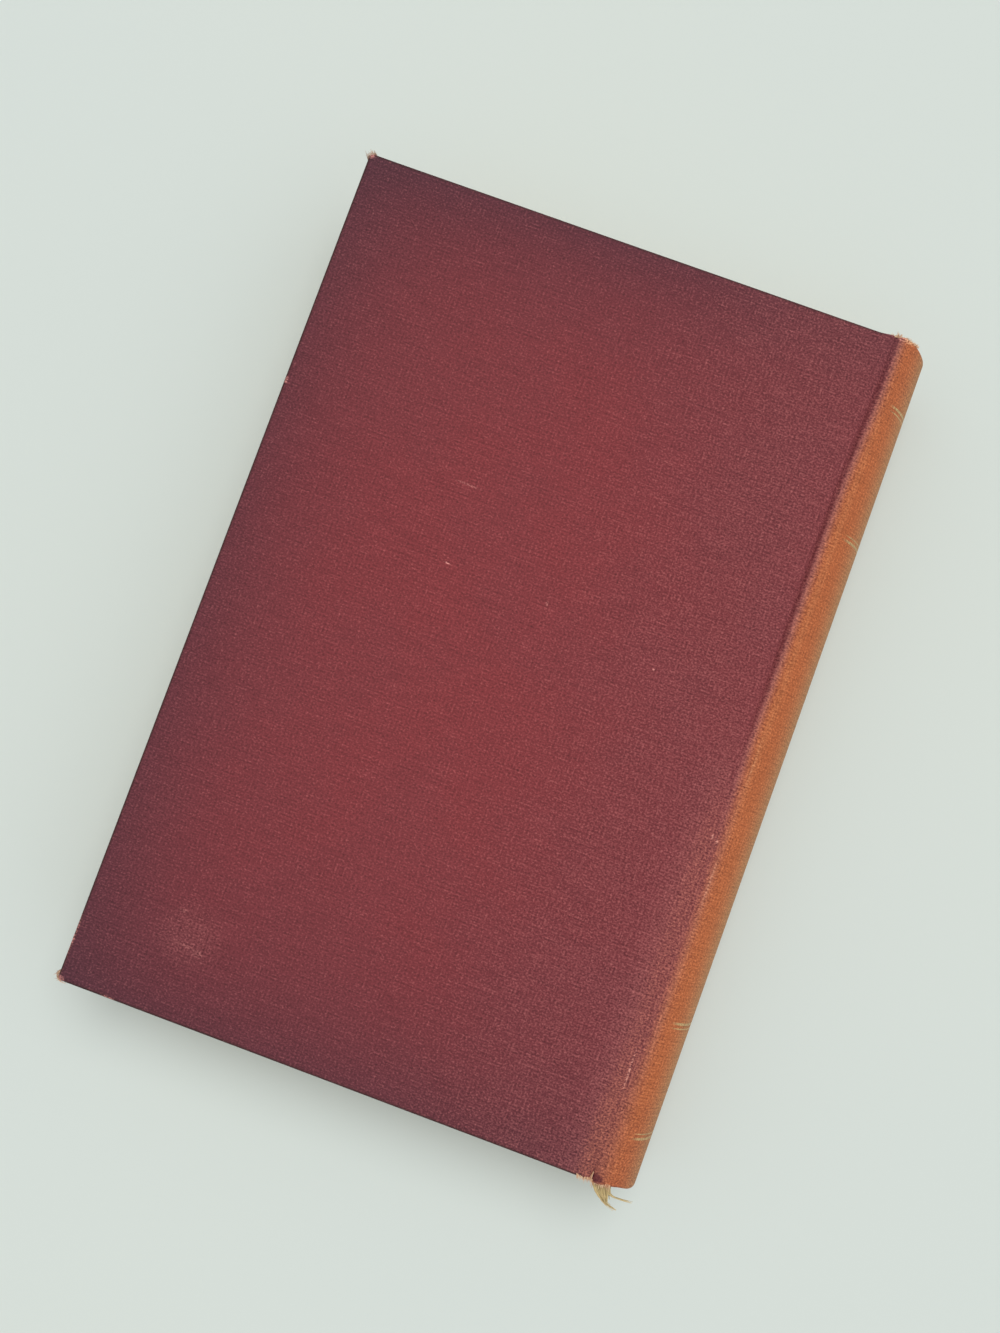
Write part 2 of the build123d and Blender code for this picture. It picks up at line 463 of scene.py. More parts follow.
@dataclass(frozen=True)
class Bookcloth(Finish):
    """Starch-filled cotton bookcloth, dyed maroon and sun-faded to orange on the spine.

    A matt woven face: close threads with slubs running across the cover, redder in the
    middle and darker towards the edges, paler where threads are rubbed bare, with dirt and
    painted shade on the rims and painted shade in the joint's crease and in dents.
    """

    name: str = "maroon_bookcloth"
    warm: str = "#853639"
    cool: str = "#7f363a"
    edge: str = "#422a36"
    faded: str = "#ae6039"
    bleached: str = "#a87a54"
    crest: str = "#cb8a5e"
    fleck: str = "#c07c76"
    # Dark maroon for the joint's crease and dents: unfaded dye in the crease, and painted shade in both
    # hollows
    joint: str = "#571f29"
    # Dark brown for the rims: dirt, and painted shade where the cloth turns down over the edge
    grime_and_shade: str = "#38211f"
    bare: str = "#dd938b"
    frayed: str = "#dfae80"
    gilt: str = "#b8996b"

    # Patterns in millimetres
    thread_pitch: float = 0.9  # drawn coarser than the real 0.4 mm, to show at all
    grain_length: float = 0.5
    grain_width: float = 0.4
    weft_length: float = 8.0
    warp_length: float = 4.0
    thread_width: float = 0.32
    slub_length: float = 14.0
    slub_width: float = 0.6
    slub_sway: float = 0.5  # how far slubs push the weave aside
    cloud_size: float = 36.0

    # How patterns and wear show: weights, most shares, and spans from none to full
    thread_weight: float = 0.6  # of the long threads over the grain
    cloud_span: Span = (0.36, 0.62)
    cloud_tone: float = 0.3
    bleach_span: Span = (62.0, 70.0)  # across the spine
    fade_breakup: float = 1.5  # how far single threads hold or lose their dye
    fade_breakup_level: float = -0.78
    fade_breakup_start: float = 0.25
    fade_span: Span = (0.12, 0.88)
    rub_span: Span = (0.1, 1.0)
    rub_weight: float = 0.24
    fleck_span: Span = (0.58, 0.86)
    fleck_most: float = 0.46
    # Unfaded dye and painted shade along the joint's crease
    crease_dye_and_shade: float = 0.04
    rim_breakup: float = 0.6
    rim_span: Span = (0.95, 1.3)
    rim_most: float = 0.7
    bare_span: Span = (0.44, 0.58)
    mark_rim: Span = (0.1, 0.8)
    # Edge of the painted shade in dents
    shaded_dent_rim: Span = (0.1, 0.55)
    rule_start: Span = (61.4, 64.4)  # across the spine
    rule_breakup: float = 0.9
    rule_kept: Span = (0.5, 1.0)
    weave_contrast: float = 0.12
    grain_contrast: float = 1.6
    thread_contrast: float = 0.45
    slub_contrast: float = 0.35
    contrast_level: float = -1.475  # brings these contrasts to a mean of about nought
    contrast_span: Span = (1.16, 1.22)  # on plain and on rubbed cloth
    thread_rise: float = 2.0
    relief: float = 0.06
    relief_strength: float = 0.35
    roughness: Span = (0.7, 0.9)
    specular: float = 0.25
    gilt_gloss: float = 0.35
    gilt_metal: float = 0.5

    # Each rule's height on the spine and half its width
    rules: Sequence[Span] = (
        (84.0, 0.28), (82.9, 0.12), (53.0, 0.12), (51.9, 0.28),
        (-61.0, 0.28), (-62.1, 0.12), (-86.2, 0.12), (-87.3, 0.28),
    )
    marks: Sequence[WearMark] = (
        # Scratches and nicks on the cover
        WearMark(-20.8, 34.75, 4.8, 0.4, -2.0, 0.32),
        WearMark(-19.1, 16.7, 1.2, 0.28, -4.0, 1.0),
        WearMark(31.9, 10.0, 0.5, 0.4, 0.0, 0.8),
        WearMark(4.8, 15.7, 0.45, 0.9, 10.0, 0.5),
        # Pale rubbed patch near the tail corner
        WearMark(-43.7, -79.5, 11.0, 10.0, 0.0, 0.08),
        WearMark(-43.6, -81.9, 5.2, 0.7, -5.0, 0.2),
        WearMark(-40.8, -82.6, 2.2, 1.4, -4.0, 0.25),
        WearMark(-46.9, -74.9, 1.8, 0.7, 4.0, 0.25),
        # Joint and ridge
        WearMark(56.3, -20.0, 0.45, 0.9, 10.0, 0.9),
        WearMark(57.5, -20.7, 0.45, 0.9, 20.0, 0.9),
        WearMark(56.2, -73.4, 0.36, 6.6, 1.0, 1.0),
        WearMark(58.95, -30.0, 0.45, 9.0, 0.3, 0.35),
        WearMark(59.45, -2.0, 0.3, 8.8, 0.3, 0.3),
        # Rims, corners and head cap
        WearMark(-67.3, 43.1, 0.6, 1.2, 0.0, 1.0),
        WearMark(-67.6, -88.0, 0.6, 7.0, 0.0, 0.6),
        WearMark(-55.9, -98.3, 2.4, 0.5, 0.0, 0.8),
        WearMark(-67.4, 98.1, 1.5, 1.5, 0.0, 0.75),
        WearMark(-67.3, -98.1, 1.6, 1.3, 0.0, 0.75),
        WearMark(60.3, 98.7, 3.4, 0.8, 0.0, 1.0),
    )
    # Dents on the back cover, given painted shade in the hollow
    shaded_dents: Sequence[WearMark] = (
        WearMark(57.4, -97.6, 1.9, 1.3, 0.0, 0.75),
        WearMark(55.3, -93.0, 0.5, 2.6, 4.0, 0.3),
    )

    def inputs(self, add: AddNode) -> dict[str, Any]:
        """Wires the worn cloth.

        Args:
            add: adds a node to the material.

        Returns:
            Values and sockets for the surface shader's inputs.
        """
        lay = add("Attribute", out="Vector", attribute_name="cloth_lay")
        fade, tone, press, rim, soil_and_shade, rub = (
            add("Attribute", out="Fac", attribute_name=name) for name in WEAR_NOTES)
        across = add("SeparateXYZ", lay, out="X")
        along = add("SeparateXYZ", lay, out="Y")

        # Threads: weft runs across the cover and warp along it, with long slubs in the weft
        sizes = (
            (self.grain_length, self.grain_width), (self.weft_length, self.thread_width),
            (self.thread_width, self.warp_length), (self.slub_length, self.slub_width),
            (self.cloud_size, self.cloud_size))
        noises = []
        for length, width in sizes:
            spread = add("Mapping", lay, named={"Scale": (1 / length, 1 / width, 1.0)})
            noises.append(add("TexNoise", named={
                "Vector": spread, "Scale": 1.0, "Detail": 3.0, "Roughness": 0.6}))
        grain, weft, warp, slub, cloud = noises
        threads = add("Math", weft, warp, operation="MAXIMUM")
        threads = add("Math", threads, self.thread_weight, grain, operation="MULTIPLY_ADD")
        threads = add("MapRange", threads, 0.0, 1 + self.thread_weight)
        turns = math.pi / self.thread_pitch
        waves = []
        for way in (across, along):
            phase = add("Math", slub, self.slub_sway, way, operation="MULTIPLY_ADD")
            phase = add("Math", phase, turns, operation="MULTIPLY")
            waves.append(add("Math", phase, operation="SINE"))
        weave = add("Math", *waves, operation="MULTIPLY")
        weave = add("Math", weave, operation="ABSOLUTE")

        # Dye: darker and bluer towards the edges, bleached orange over the spine
        share = add("MapRange", cloud, *self.cloud_span, interpolation_type="SMOOTHSTEP")
        colour = add("MixRGB", share, linear(self.cool), linear(self.warm))
        share = add("Math", cloud, self.cloud_tone, -0.5 * self.cloud_tone, operation="MULTIPLY_ADD")
        share = add("Math", share, tone, operation="ADD", use_clamp=True)
        colour = add("MixRGB", share, colour, linear(self.edge))
        share = add("MapRange", across, *self.bleach_span, interpolation_type="SMOOTHSTEP")
        orange = add("MixRGB", share, linear(self.faded), linear(self.bleached))
        share = add("Math", threads, self.fade_breakup, self.fade_breakup_level, operation="MULTIPLY_ADD")
        uneven = add("MapRange", fade, 0.0, self.fade_breakup_start)
        share = add("Math", share, uneven, fade, operation="MULTIPLY_ADD")
        share = add("MapRange", share, *self.fade_span)
        colour = add("MixRGB", share, colour, orange)

        # Rubbed thread tops: salmon dashes on the cover, bright ones along the ridge
        share = add("Math", rub, self.rub_weight, threads, operation="MULTIPLY_ADD")
        share = add("MapRange", share, *self.fleck_span, 0.0, self.fleck_most)
        worn_dye = add("MixRGB", fade, linear(self.fleck), linear(self.crest))
        colour = add("MixRGB", share, colour, worn_dye)

        # Rims hold dirt, with painted shade where the cloth turns down over the edge; the joint's crease
        # gets unfaded dye with painted shade, and dents get painted shade
        colour = add("MixRGB", soil_and_shade, colour, linear(self.grime_and_shade))
        share = add("Math", press, self.crease_dye_and_shade, operation="MULTIPLY")
        for dent in self.shaded_dents:
            share = add("Math", share, dent.shown(add, lay, self.shaded_dent_rim), operation="MAXIMUM")
        colour = add("MixRGB", share, colour, linear(self.joint))

        # Worn rims and single marks, broken up by the threads
        share = add("Math", threads, self.rim_breakup, rim, operation="MULTIPLY_ADD")
        worn = add("MapRange", share, *self.rim_span, 0.0, self.rim_most, interpolation_type="SMOOTHSTEP")
        for mark in self.marks:
            worn = add("Math", worn, mark.shown(add, lay, self.mark_rim), operation="MAXIMUM")
        share = add("MapRange", threads, *self.bare_span, interpolation_type="SMOOTHSTEP")
        share = add("Math", share, worn, operation="MULTIPLY")
        cotton = add("MixRGB", fade, linear(self.bare), linear(self.frayed))
        colour = add("MixRGB", share, colour, cotton)

        # Plain stamped rules across the spine, tarnished and partly lost
        lines = [add("Math", along, *rule, operation="COMPARE") for rule in self.rules]
        stamped = reduce(partial(add, "Math", operation="MAXIMUM"), lines)
        share = add("MapRange", across, *self.rule_start, interpolation_type="SMOOTHSTEP")
        stamped = add("Math", stamped, share, operation="MULTIPLY")
        share = add("Math", grain, self.rule_breakup, slub, operation="MULTIPLY_ADD")
        share = add("MapRange", share, *self.rule_kept, interpolation_type="SMOOTHSTEP")
        stamped = add("Math", stamped, share, operation="MULTIPLY")
        colour = add("MixRGB", stamped, colour, linear(self.gilt))

        # Light and dark of single threads
        contrasts = (
            (weave, self.weave_contrast), (grain, self.grain_contrast), (weft, self.thread_contrast),
            (warp, self.thread_contrast), (slub, self.slub_contrast))
        shade: Any = self.contrast_level
        for pattern, weight in contrasts:
            shade = add("Math", pattern, weight, shade, operation="MULTIPLY_ADD")
        contrast = add("MapRange", rub, *self.rub_span, *self.contrast_span)
        shade = add("Math", shade, contrast, 1.0, operation="MULTIPLY_ADD")
        colour = add("VectorMath", colour, named={"Scale": shade}, operation="SCALE")
        height = add("Math", threads, self.thread_rise, weave, operation="MULTIPLY_ADD")
        bump = add("Bump", out="Normal", named={
            "Height": height, "Strength": self.relief_strength, "Distance": self.relief * MM})
        rough = add("MapRange", grain, 0.0, 1.0, *self.roughness)
        rough = add("Math", stamped, -self.gilt_gloss, rough, operation="MULTIPLY_ADD")
        metal = add("Math", stamped, self.gilt_metal, operation="MULTIPLY")
        return {"Base Color": colour, "Roughness": rough, "Normal": bump, "Metallic": metal,
                "Specular IOR Level": self.specular}


@dataclass(frozen=True)
class Paper(Finish):
    """Uncoated book paper, machine-made, toned with age.

    Soft and matt, browner near cut edges, with faint fibres and a few fox spots. Cut
    edges show their leaves as fine lines.
    """

    name: str
    pale: str
    toned: str
    spot: str = "#a9865a"
    edged: bool = False
    fibre_size: float = 1.1
    cloud_size: float = 33.0
    spot_size: float = 6.0
    cloud_tone: float = 0.4
    fibre_tone: float = 0.3
    leaf_tone: float = 0.9
    leaf_lines: float = 0.9  # for each leaf
    tone_start: float = -0.1
    edged_tone_start: float = 0.5
    tone_range: float = 0.85
    spot_span: Span = (0.7, 0.8)
    spot_most: float = 0.35
    relief: float = 0.03

    def inputs(self, add: AddNode) -> dict[str, Any]:
        """Wires the toned paper.

        Args:
            add: adds a node to the material.

        Returns:
            Values and sockets for the surface shader's inputs.
        """
        if self.edged:
            place = add("TexCoord", out="Object")
            place = add("VectorMath", place, named={"Scale": 1 / MM}, operation="SCALE")
        else:
            place = add("Attribute", out="Vector", attribute_name="sheet_lay")
        sizes = (self.fibre_size, self.cloud_size, self.spot_size)
        fibre, cloud, spots = (
            add("TexNoise", named={"Vector": place, "Scale": 1 / size, "Detail": 3.0}) for size in sizes)
        tone = add("Attribute", out="Fac", attribute_name="paper_tone")
        share = add("Math", cloud, self.cloud_tone, tone, operation="MULTIPLY_ADD")
        share = add("Math", fibre, self.fibre_tone, share, operation="MULTIPLY_ADD")
        low = self.tone_start
        if self.edged:
            leaf = add("Attribute", out="Fac", attribute_name="leaf_number")
            lines = add("TexNoise", noise_dimensions="1D", named={
                "W": leaf, "Scale": self.leaf_lines, "Detail": 3.0, "Roughness": 0.8})
            share = add("Math", lines, self.leaf_tone, share, operation="MULTIPLY_ADD")
            low = self.edged_tone_start
        share = add("MapRange", share, low, low + self.tone_range)
        colour = add("MixRGB", share, linear(self.pale), linear(self.toned))
        foxed = add("MapRange", spots, *self.spot_span, 0.0, self.spot_most)
        colour = add("MixRGB", foxed, colour, linear(self.spot))
        bump = add("Bump", out="Normal", named={
            "Height": fibre, "Strength": 0.2, "Distance": self.relief * MM})
        return {"Base Color": colour, "Roughness": 0.85, "Normal": bump, "Specular IOR Level": 0.25}


@dataclass(frozen=True)
class Board(Finish):
    """Pressed board, card or kraft paper: matt, with short fibres of two browns."""

    name: str
    pale: str
    dark: str
    fibre_width: float = 1.6
    fibre_length: float = 4.0
    fibre_span: Span = (0.3, 0.7)
    relief: float = 0.05

    def inputs(self, add: AddNode) -> dict[str, Any]:
        """Wires the fibres.

        Args:
            add: adds a node to the material.

        Returns:
            Values and sockets for the surface shader's inputs.
        """
        place = add("TexCoord", out="Object")
        widths = (self.fibre_width, self.fibre_length, self.fibre_width)
        place = add("Mapping", place, named={"Scale": tuple(1 / (width * MM) for width in widths)})
        fibres = add("TexNoise", named={"Vector": place, "Scale": 1.0, "Detail": 5.0, "Roughness": 0.75})
        share = add("MapRange", fibres, *self.fibre_span)
        colour = add("MixRGB", share, linear(self.dark), linear(self.pale))
        bump = add("Bump", out="Normal", named={
            "Height": fibres, "Strength": 0.3, "Distance": self.relief * MM})
        return {"Base Color": colour, "Roughness": 0.9, "Normal": bump, "Specular IOR Level": 0.2}


@dataclass(frozen=True)
class Mull(Finish):
    """Open-weave starched cotton: a coarse grid of pale threads over darker gaps."""

    name: str = "open_weave_mull"
    thread: str = "#d8cbae"
    gap: str = "#8a7855"
    pitch: float = 1.3
    thread_span: Span = (0.2, 0.7)
    relief: float = 0.1

    def inputs(self, add: AddNode) -> dict[str, Any]:
        """Wires the open weave.

        Args:
            add: adds a node to the material.

        Returns:
            Values and sockets for the surface shader's inputs.
        """
        place = add("TexCoord", out="Object")
        across, along, up = (add("SeparateXYZ", place, out=axis) for axis in "XYZ")
        around = add("Math", across, up, operation="ADD")
        ridges = []
        for way in (around, along):
            phase = add("Math", way, 2 * math.pi / (self.pitch * MM), operation="MULTIPLY")
            ridges.append(add("Math", phase, operation="SINE"))
        threads = add("Math", *ridges, operation="MAXIMUM")
        share = add("MapRange", threads, *self.thread_span)
        colour = add("MixRGB", share, linear(self.gap), linear(self.thread))
        bump = add("Bump", out="Normal", named={
            "Height": threads, "Strength": 0.5, "Distance": self.relief * MM})
        return {"Base Color": colour, "Roughness": 0.9, "Normal": bump, "Specular IOR Level": 0.2}


@dataclass(frozen=True)
class LooseThread(Finish):
    """Cotton threads pulled from the cloth: straw-pale fibres, browner at the root."""

    name: str
    pale: str
    dark: str
    patch_size: float = 0.7
    patch_tone: float = 0.4
    tip_tone: float = 0.4
    tone_span: Span = (0.3, 1.3)

    def inputs(self, add: AddNode) -> dict[str, Any]:
        """Wires the threads.

        Args:
            add: adds a node to the material.

        Returns:
            Values and sockets for the surface shader's inputs.
        """
        run = add("Attribute", out="Fac", attribute_name="thread_run")
        tone = add("Attribute", out="Fac", attribute_name="thread_tone")
        place = add("TexCoord", out="Object")
        per_metre = 1 / (self.patch_size * MM)
        uneven = add("TexNoise", named={"Vector": place, "Scale": per_metre, "Detail": 2.0})
        share = add("Math", uneven, self.patch_tone, tone, operation="MULTIPLY_ADD")
        share = add("Math", run, self.tip_tone, share, operation="MULTIPLY_ADD")
        share = add("MapRange", share, *self.tone_span)
        colour = add("MixRGB", share, linear(self.dark), linear(self.pale))
        return {"Base Color": colour, "Roughness": 0.8, "Specular IOR Level": 0.25}


@dataclass(frozen=True)
class PaintedTable(Finish):
    """Matt painted table top: pale grey-green, with faint broad clouds."""

    name: str = "painted_table"
    warm: str = "#d8dfd7"
    cool: str = "#d5deda"
    cloud_size: float = 250.0

    def inputs(self, add: AddNode) -> dict[str, Any]:
        """Wires the paint.

        Args:
            add: adds a node to the material.

        Returns:
            Values and sockets for the surface shader's inputs.
        """
        place = add("TexCoord", out="Object")
        per_metre = 1 / (self.cloud_size * MM)
        cloud = add("TexNoise", named={"Vector": place, "Scale": per_metre, "Detail": 2.0})
        colour = add("MixRGB", cloud, linear(self.warm), linear(self.cool))
        return {"Base Color": colour, "Roughness": 0.8, "Specular IOR Level": 0.1}


# Case cloth

@dataclass(frozen=True)
class ClothWear:
    """How one half of the cloth is pressed in, drawn out, faded, soiled and rubbed, with painted shade on
    its rims and in its crease.

    A span is the place in millimetres where something sets in and the one where it is
    full. The hidden front half is worn plainly and evenly.
    """

    side: Side

    # The joint: a sharp crease in a soft dip, deepest in the upper half
    crease_x: float = 56.55
    crease_depth: float = 0.72
    crease_width: float = 0.42
    dip_depth: float = 0.4
    dip_width: float = 1.2
    plain_press: float = 0.82
    plain_press_stray: float = 0.1
    plain_press_wave: float = 45.0
    plain_press_seed: float = 7.0
    least_press: float = 0.25
    upper_press: float = 0.7
    upper_press_span: Span = (-16.0, 24.0)
    cap_press: float = 0.6
    cap_press_span: Span = (86.0, 97.5)
    tail_press: float = 0.6
    tail_press_span: Span = (-93.0, -98.0)
    head_shift: float = 1.3
    head_shift_span: Span = (55.0, 96.0)
    low_shift: float = 0.3
    low_shift_span: Span = (20.0, 0.0)
    # Depths over which the crease gets unfaded dye and painted shade
    dye_and_shade_depth: Span = (0.25, 1.1)

    # The spine's worn ends: a head cap that swells and a tail that sags
    end_span: Span = (90.0, 98.0)
    cap_swell: float = 0.75
    cap_swell_from: Span = (53.5, 59.0)
    cap_swell_to: Span = (66.5, 61.8)
    tail_sag: float = 0.7
    tail_sag_span: Span = (62.5, 67.0)
    joint_sag: float = 0.3
    joint_sag_from: Span = (54.4, 56.0)
    joint_sag_to: Span = (60.4, 58.4)

    # The sun's fading, from the crease over the spine, and onto the cover lower down
    plain_fade: float = 0.08
    plain_fade_span: Span = (40.0, 55.0)
    plain_spine_span: Span = (56.5, 60.0)
    low_span: Span = (8.0, -25.0)
    tail_span: Span = (-62.0, -90.0)
    head_span: Span = (60.0, 94.0)
    fade_lead: float = 0.3
    low_fade_lag: float = 0.9
    head_fade_lag: float = 0.1
    fade_width: float = 3.9
    tail_fade_widening: float = 1.5
    head_fade_narrowing: float = 0.3
    halo: Span = (0.22, 0.36)  # on the cover beside the joint, lower down and at the tail
    halo_span: Span = (49.0, 55.5)
    patchy_span: Span = (63.0, 60.0)
    patchy_loss: float = 0.2
    head_loss: float = 0.13

    # Darker dye towards head, tail and fore-edge, and dirt with painted shade along the rims
    head_dark: Span = (0.66, 18.0)  # share at the rim, and how far in it reaches
    tail_dark: Span = (0.62, 24.0)
    fore_dark: Span = (0.58, 19.0)
    joint_dark: float = 0.2
    joint_dark_span: Span = (0.0, 50.0)
    end_relief: Span = (0.25, 0.45)  # near the joint, at tail and head
    end_relief_span: Span = (-40.0, 40.0)
    turned_in_loss: float = 0.5
    turned_in_span: Span = (-2.4, -4.0)
    # Dirt along the rims, with painted shade where the cloth turns down over the edge
    soil_and_shade: float = 0.8
    soil_and_shade_span: Span = (0.9, 0.2)
    soil_and_shade_end: Span = (56.0, 54.0)
    under_soil_and_shade: float = 0.35
    under_soil_and_shade_span: Span = (-2.8, -0.6)
    rim_wear: float = 0.6
    rim_wear_reach: float = 1.2

    # Rubbed threads: near the joint, on the ridge's crest and on the lip over the crease
    plain_rub: float = 0.2
    plain_ridge_rub: float = 0.3
    plain_ridge_from: Span = (30.0, 60.0)
    plain_ridge_to: Span = (64.0, 61.0)
    cover_rub: float = 0.1
    joint_side_rub: float = 0.3
    joint_side_span: Span = (-10.0, 50.0)
    low_rub: float = 0.3
    low_rub_span: Span = (46.0, 55.0)
    low_rub_height: Span = (20.0, -30.0)
    spine_rub: float = 0.4
    spine_rub_span: Span = (58.5, 61.5)
    crest_rub: float = 0.36
    crest_x: Span = (60.1, 59.2)  # in the upper and the lower half
    crest_width: float = 0.7
    crest_height: Span = (-84.0, -60.0)
    lip_rub: float = 0.8
    lip_offset: float = 1.1
    lip_head_offset: float = 0.4
    lip_width: float = 0.8

    def joint_line(self, v: float) -> float:
        """Where the joint's crease runs; it drifts towards the spine at the head.

        Args:
            v: place along the cloth.

        Returns:
            The crease's place across the cloth.
        """
        if self.side is Side.FRONT:
            return self.crease_x
        head = self.head_shift * ease(*self.head_shift_span, v)
        return self.crease_x + head - self.low_shift * ease(*self.low_shift_span, v)

    def pressed_in(self, v: float) -> float:
        """How deeply the joint is pressed in.

        Args:
            v: place along the cloth.

        Returns:
            Its share of the full depth.
        """
        if self.side is Side.FRONT:
            stray = ripple(0.0, v, self.plain_press_wave, self.plain_press_seed)
            return self.plain_press + self.plain_press_stray * stray
        upper = ease(*self.upper_press_span, v) * mix(1.0, self.cap_press, ease(*self.cap_press_span, v))
        tail = ease(*self.tail_press_span, v)
        return min(1.0, self.least_press + self.upper_press * upper + self.tail_press * tail)

    def crease(self, u: float, v: float) -> float:
        """How far the cloth is pressed into the joint at a place.

        Args:
            u: place across the cloth.
            v: place along it.

        Returns:
            The depth below the unpressed cloth.
        """
        off = u - self.joint_line(v)
        fold = self.crease_depth * bell(off, self.crease_width)
        return self.pressed_in(v) * (fold + self.dip_depth * bell(off, self.dip_width))

    def end_drift(self, u: float, v: float) -> float:
        """How far the worn spine ends stand out past the boards at a place.

        Args:
            u: place across the cloth.
            v: place along it.

        Returns:
            The shift along the book.
        """
        worn = 1.0 if self.side is Side.BACK else 0.0
        if v > 0:
            drift = self.cap_swell * worn * ease(*self.cap_swell_from, u) * ease(*self.cap_swell_to, u)
        else:
            joint = self.joint_sag * worn * ease(*self.joint_sag_from, u) * ease(*self.joint_sag_to, u)
            drift = -self.tail_sag * ease(*self.tail_sag_span, u) - joint
        return drift * ease(*self.end_span, abs(v))

    def sun_fade(self, u: float, v: float) -> float:
        """How far the dye has faded at a place.

        Args:
            u: place across the cloth.
            v: place along it.

        Returns:
            The faded share.
        """
        if self.side is Side.FRONT:
            cover = self.plain_fade * ease(*self.plain_fade_span, u)
            return cover + (1 - self.plain_fade) * ease(*self.plain_spine_span, u)
        low, tail, head = (ease(*span, v) for span in (self.low_span, self.tail_span, self.head_span))
        start = self.joint_line(v) - self.fade_lead + mix(self.low_fade_lag, 0.0, tail) * low
        start += self.head_fade_lag * head
        width = self.fade_width + self.tail_fade_widening * tail - self.head_fade_narrowing * head
        partly = mix(*self.halo, tail) * low * ease(*self.halo_span, u)
        faded = partly + (1 - partly) * ease(start, start + width, u)
        patchy = max(tail, low * ease(*self.patchy_span, u))
        return faded * (1 - self.patchy_loss * patchy) * (1 - self.head_loss * head)

    def edge_tone(self, u: float, v: float, border: float) -> float:
        """How far the dye is darkened at a place.

        Args:
            u: place across the cloth.
            v: place along it.
            border: distance in from the nearest rim, less than nought where turned in.

        Returns:
            The darkened share.
        """
        dark, reach = self.head_dark if v > 0 else self.tail_dark
        ends = dark * math.exp(-max(0.0, BOOK.half_height - abs(v)) / reach)
        beside_joint = ease(*self.joint_dark_span, u)
        ends *= 1 - mix(*self.end_relief, ease(*self.end_relief_span, v)) * beside_joint
        dark, reach = self.fore_dark
        fore = dark * math.exp(-max(0.0, u - BOOK.fore_edge) / reach)
        tone = 1 - (1 - ends) * (1 - fore) * (1 - self.joint_dark * beside_joint)
        return tone * (1 - self.turned_in_loss * ease(*self.turned_in_span, border))

    def thread_rub(self, u: float, v: float) -> float:
        """How far the thread tops are rubbed at a place.

        Args:
            u: place across the cloth.
            v: place along it.

        Returns:
            The rubbed share.
        """
        if self.side is Side.FRONT:
            ridge = ease(*self.plain_ridge_from, u) * ease(*self.plain_ridge_to, u)
            return self.plain_rub + self.plain_ridge_rub * ridge
        low = ease(*self.low_rub_height, v)
        cover = self.cover_rub + self.joint_side_rub * ease(*self.joint_side_span, u)
        cover += self.low_rub * low * ease(*self.low_rub_span, u)
        crest = self.crest_rub * bell(u - mix(*self.crest_x, low), self.crest_width)
        crest *= ease(*self.crest_height, v)
        lip_x = self.joint_line(v) + self.lip_offset + self.lip_head_offset * ease(*self.head_span, v)
        lip = self.lip_rub * (1 - low) * bell(u - lip_x, self.lip_width)
        return cover * mix(1.0, self.spine_rub, ease(*self.spine_rub_span, u)) + max(crest, lip)

    def notes(self, u: float, v: float) -> dict[str, float]:
        """All that the material has to know at a place.

        Args:
            u: place across the cloth.
            v: place along it.

        Returns:
            A share for each of the wear's notes.
        """
        border = min(u - BOOK.fore_edge, BOOK.half_height - abs(v))
        pressed = self.crease(u, v) if u < BOOK.ridge_x else 0.0
        # Rims: dirt, and painted shade where the cloth turns down
        soil_and_shade = self.soil_and_shade * ease(*self.soil_and_shade_span, border) * ease(*self.soil_and_shade_end, u)
        return {
            "sun_fade": self.sun_fade(u, v),
            "edge_tone": self.edge_tone(u, v, border),
            "joint_press": ease(*self.dye_and_shade_depth, pressed),
            "rim_rub": self.rim_wear * (1 - min(1.0, abs(border) / self.rim_wear_reach)),
            "rim_soil_and_shade": soil_and_shade * mix(self.under_soil_and_shade, 1.0, ease(*self.under_soil_and_shade_span, border)),
            "thread_rub": self.thread_rub(u, v),
        }


@dataclass(frozen=True)
class Station:
    """One line of the case cloth's cross-section, drawn along the height."""

    place: Vector  # across and up, with the joint not pressed in
    inside: Vector  # where the turned-in edge lies behind it
    lay: float  # its place across the cloth laid flat


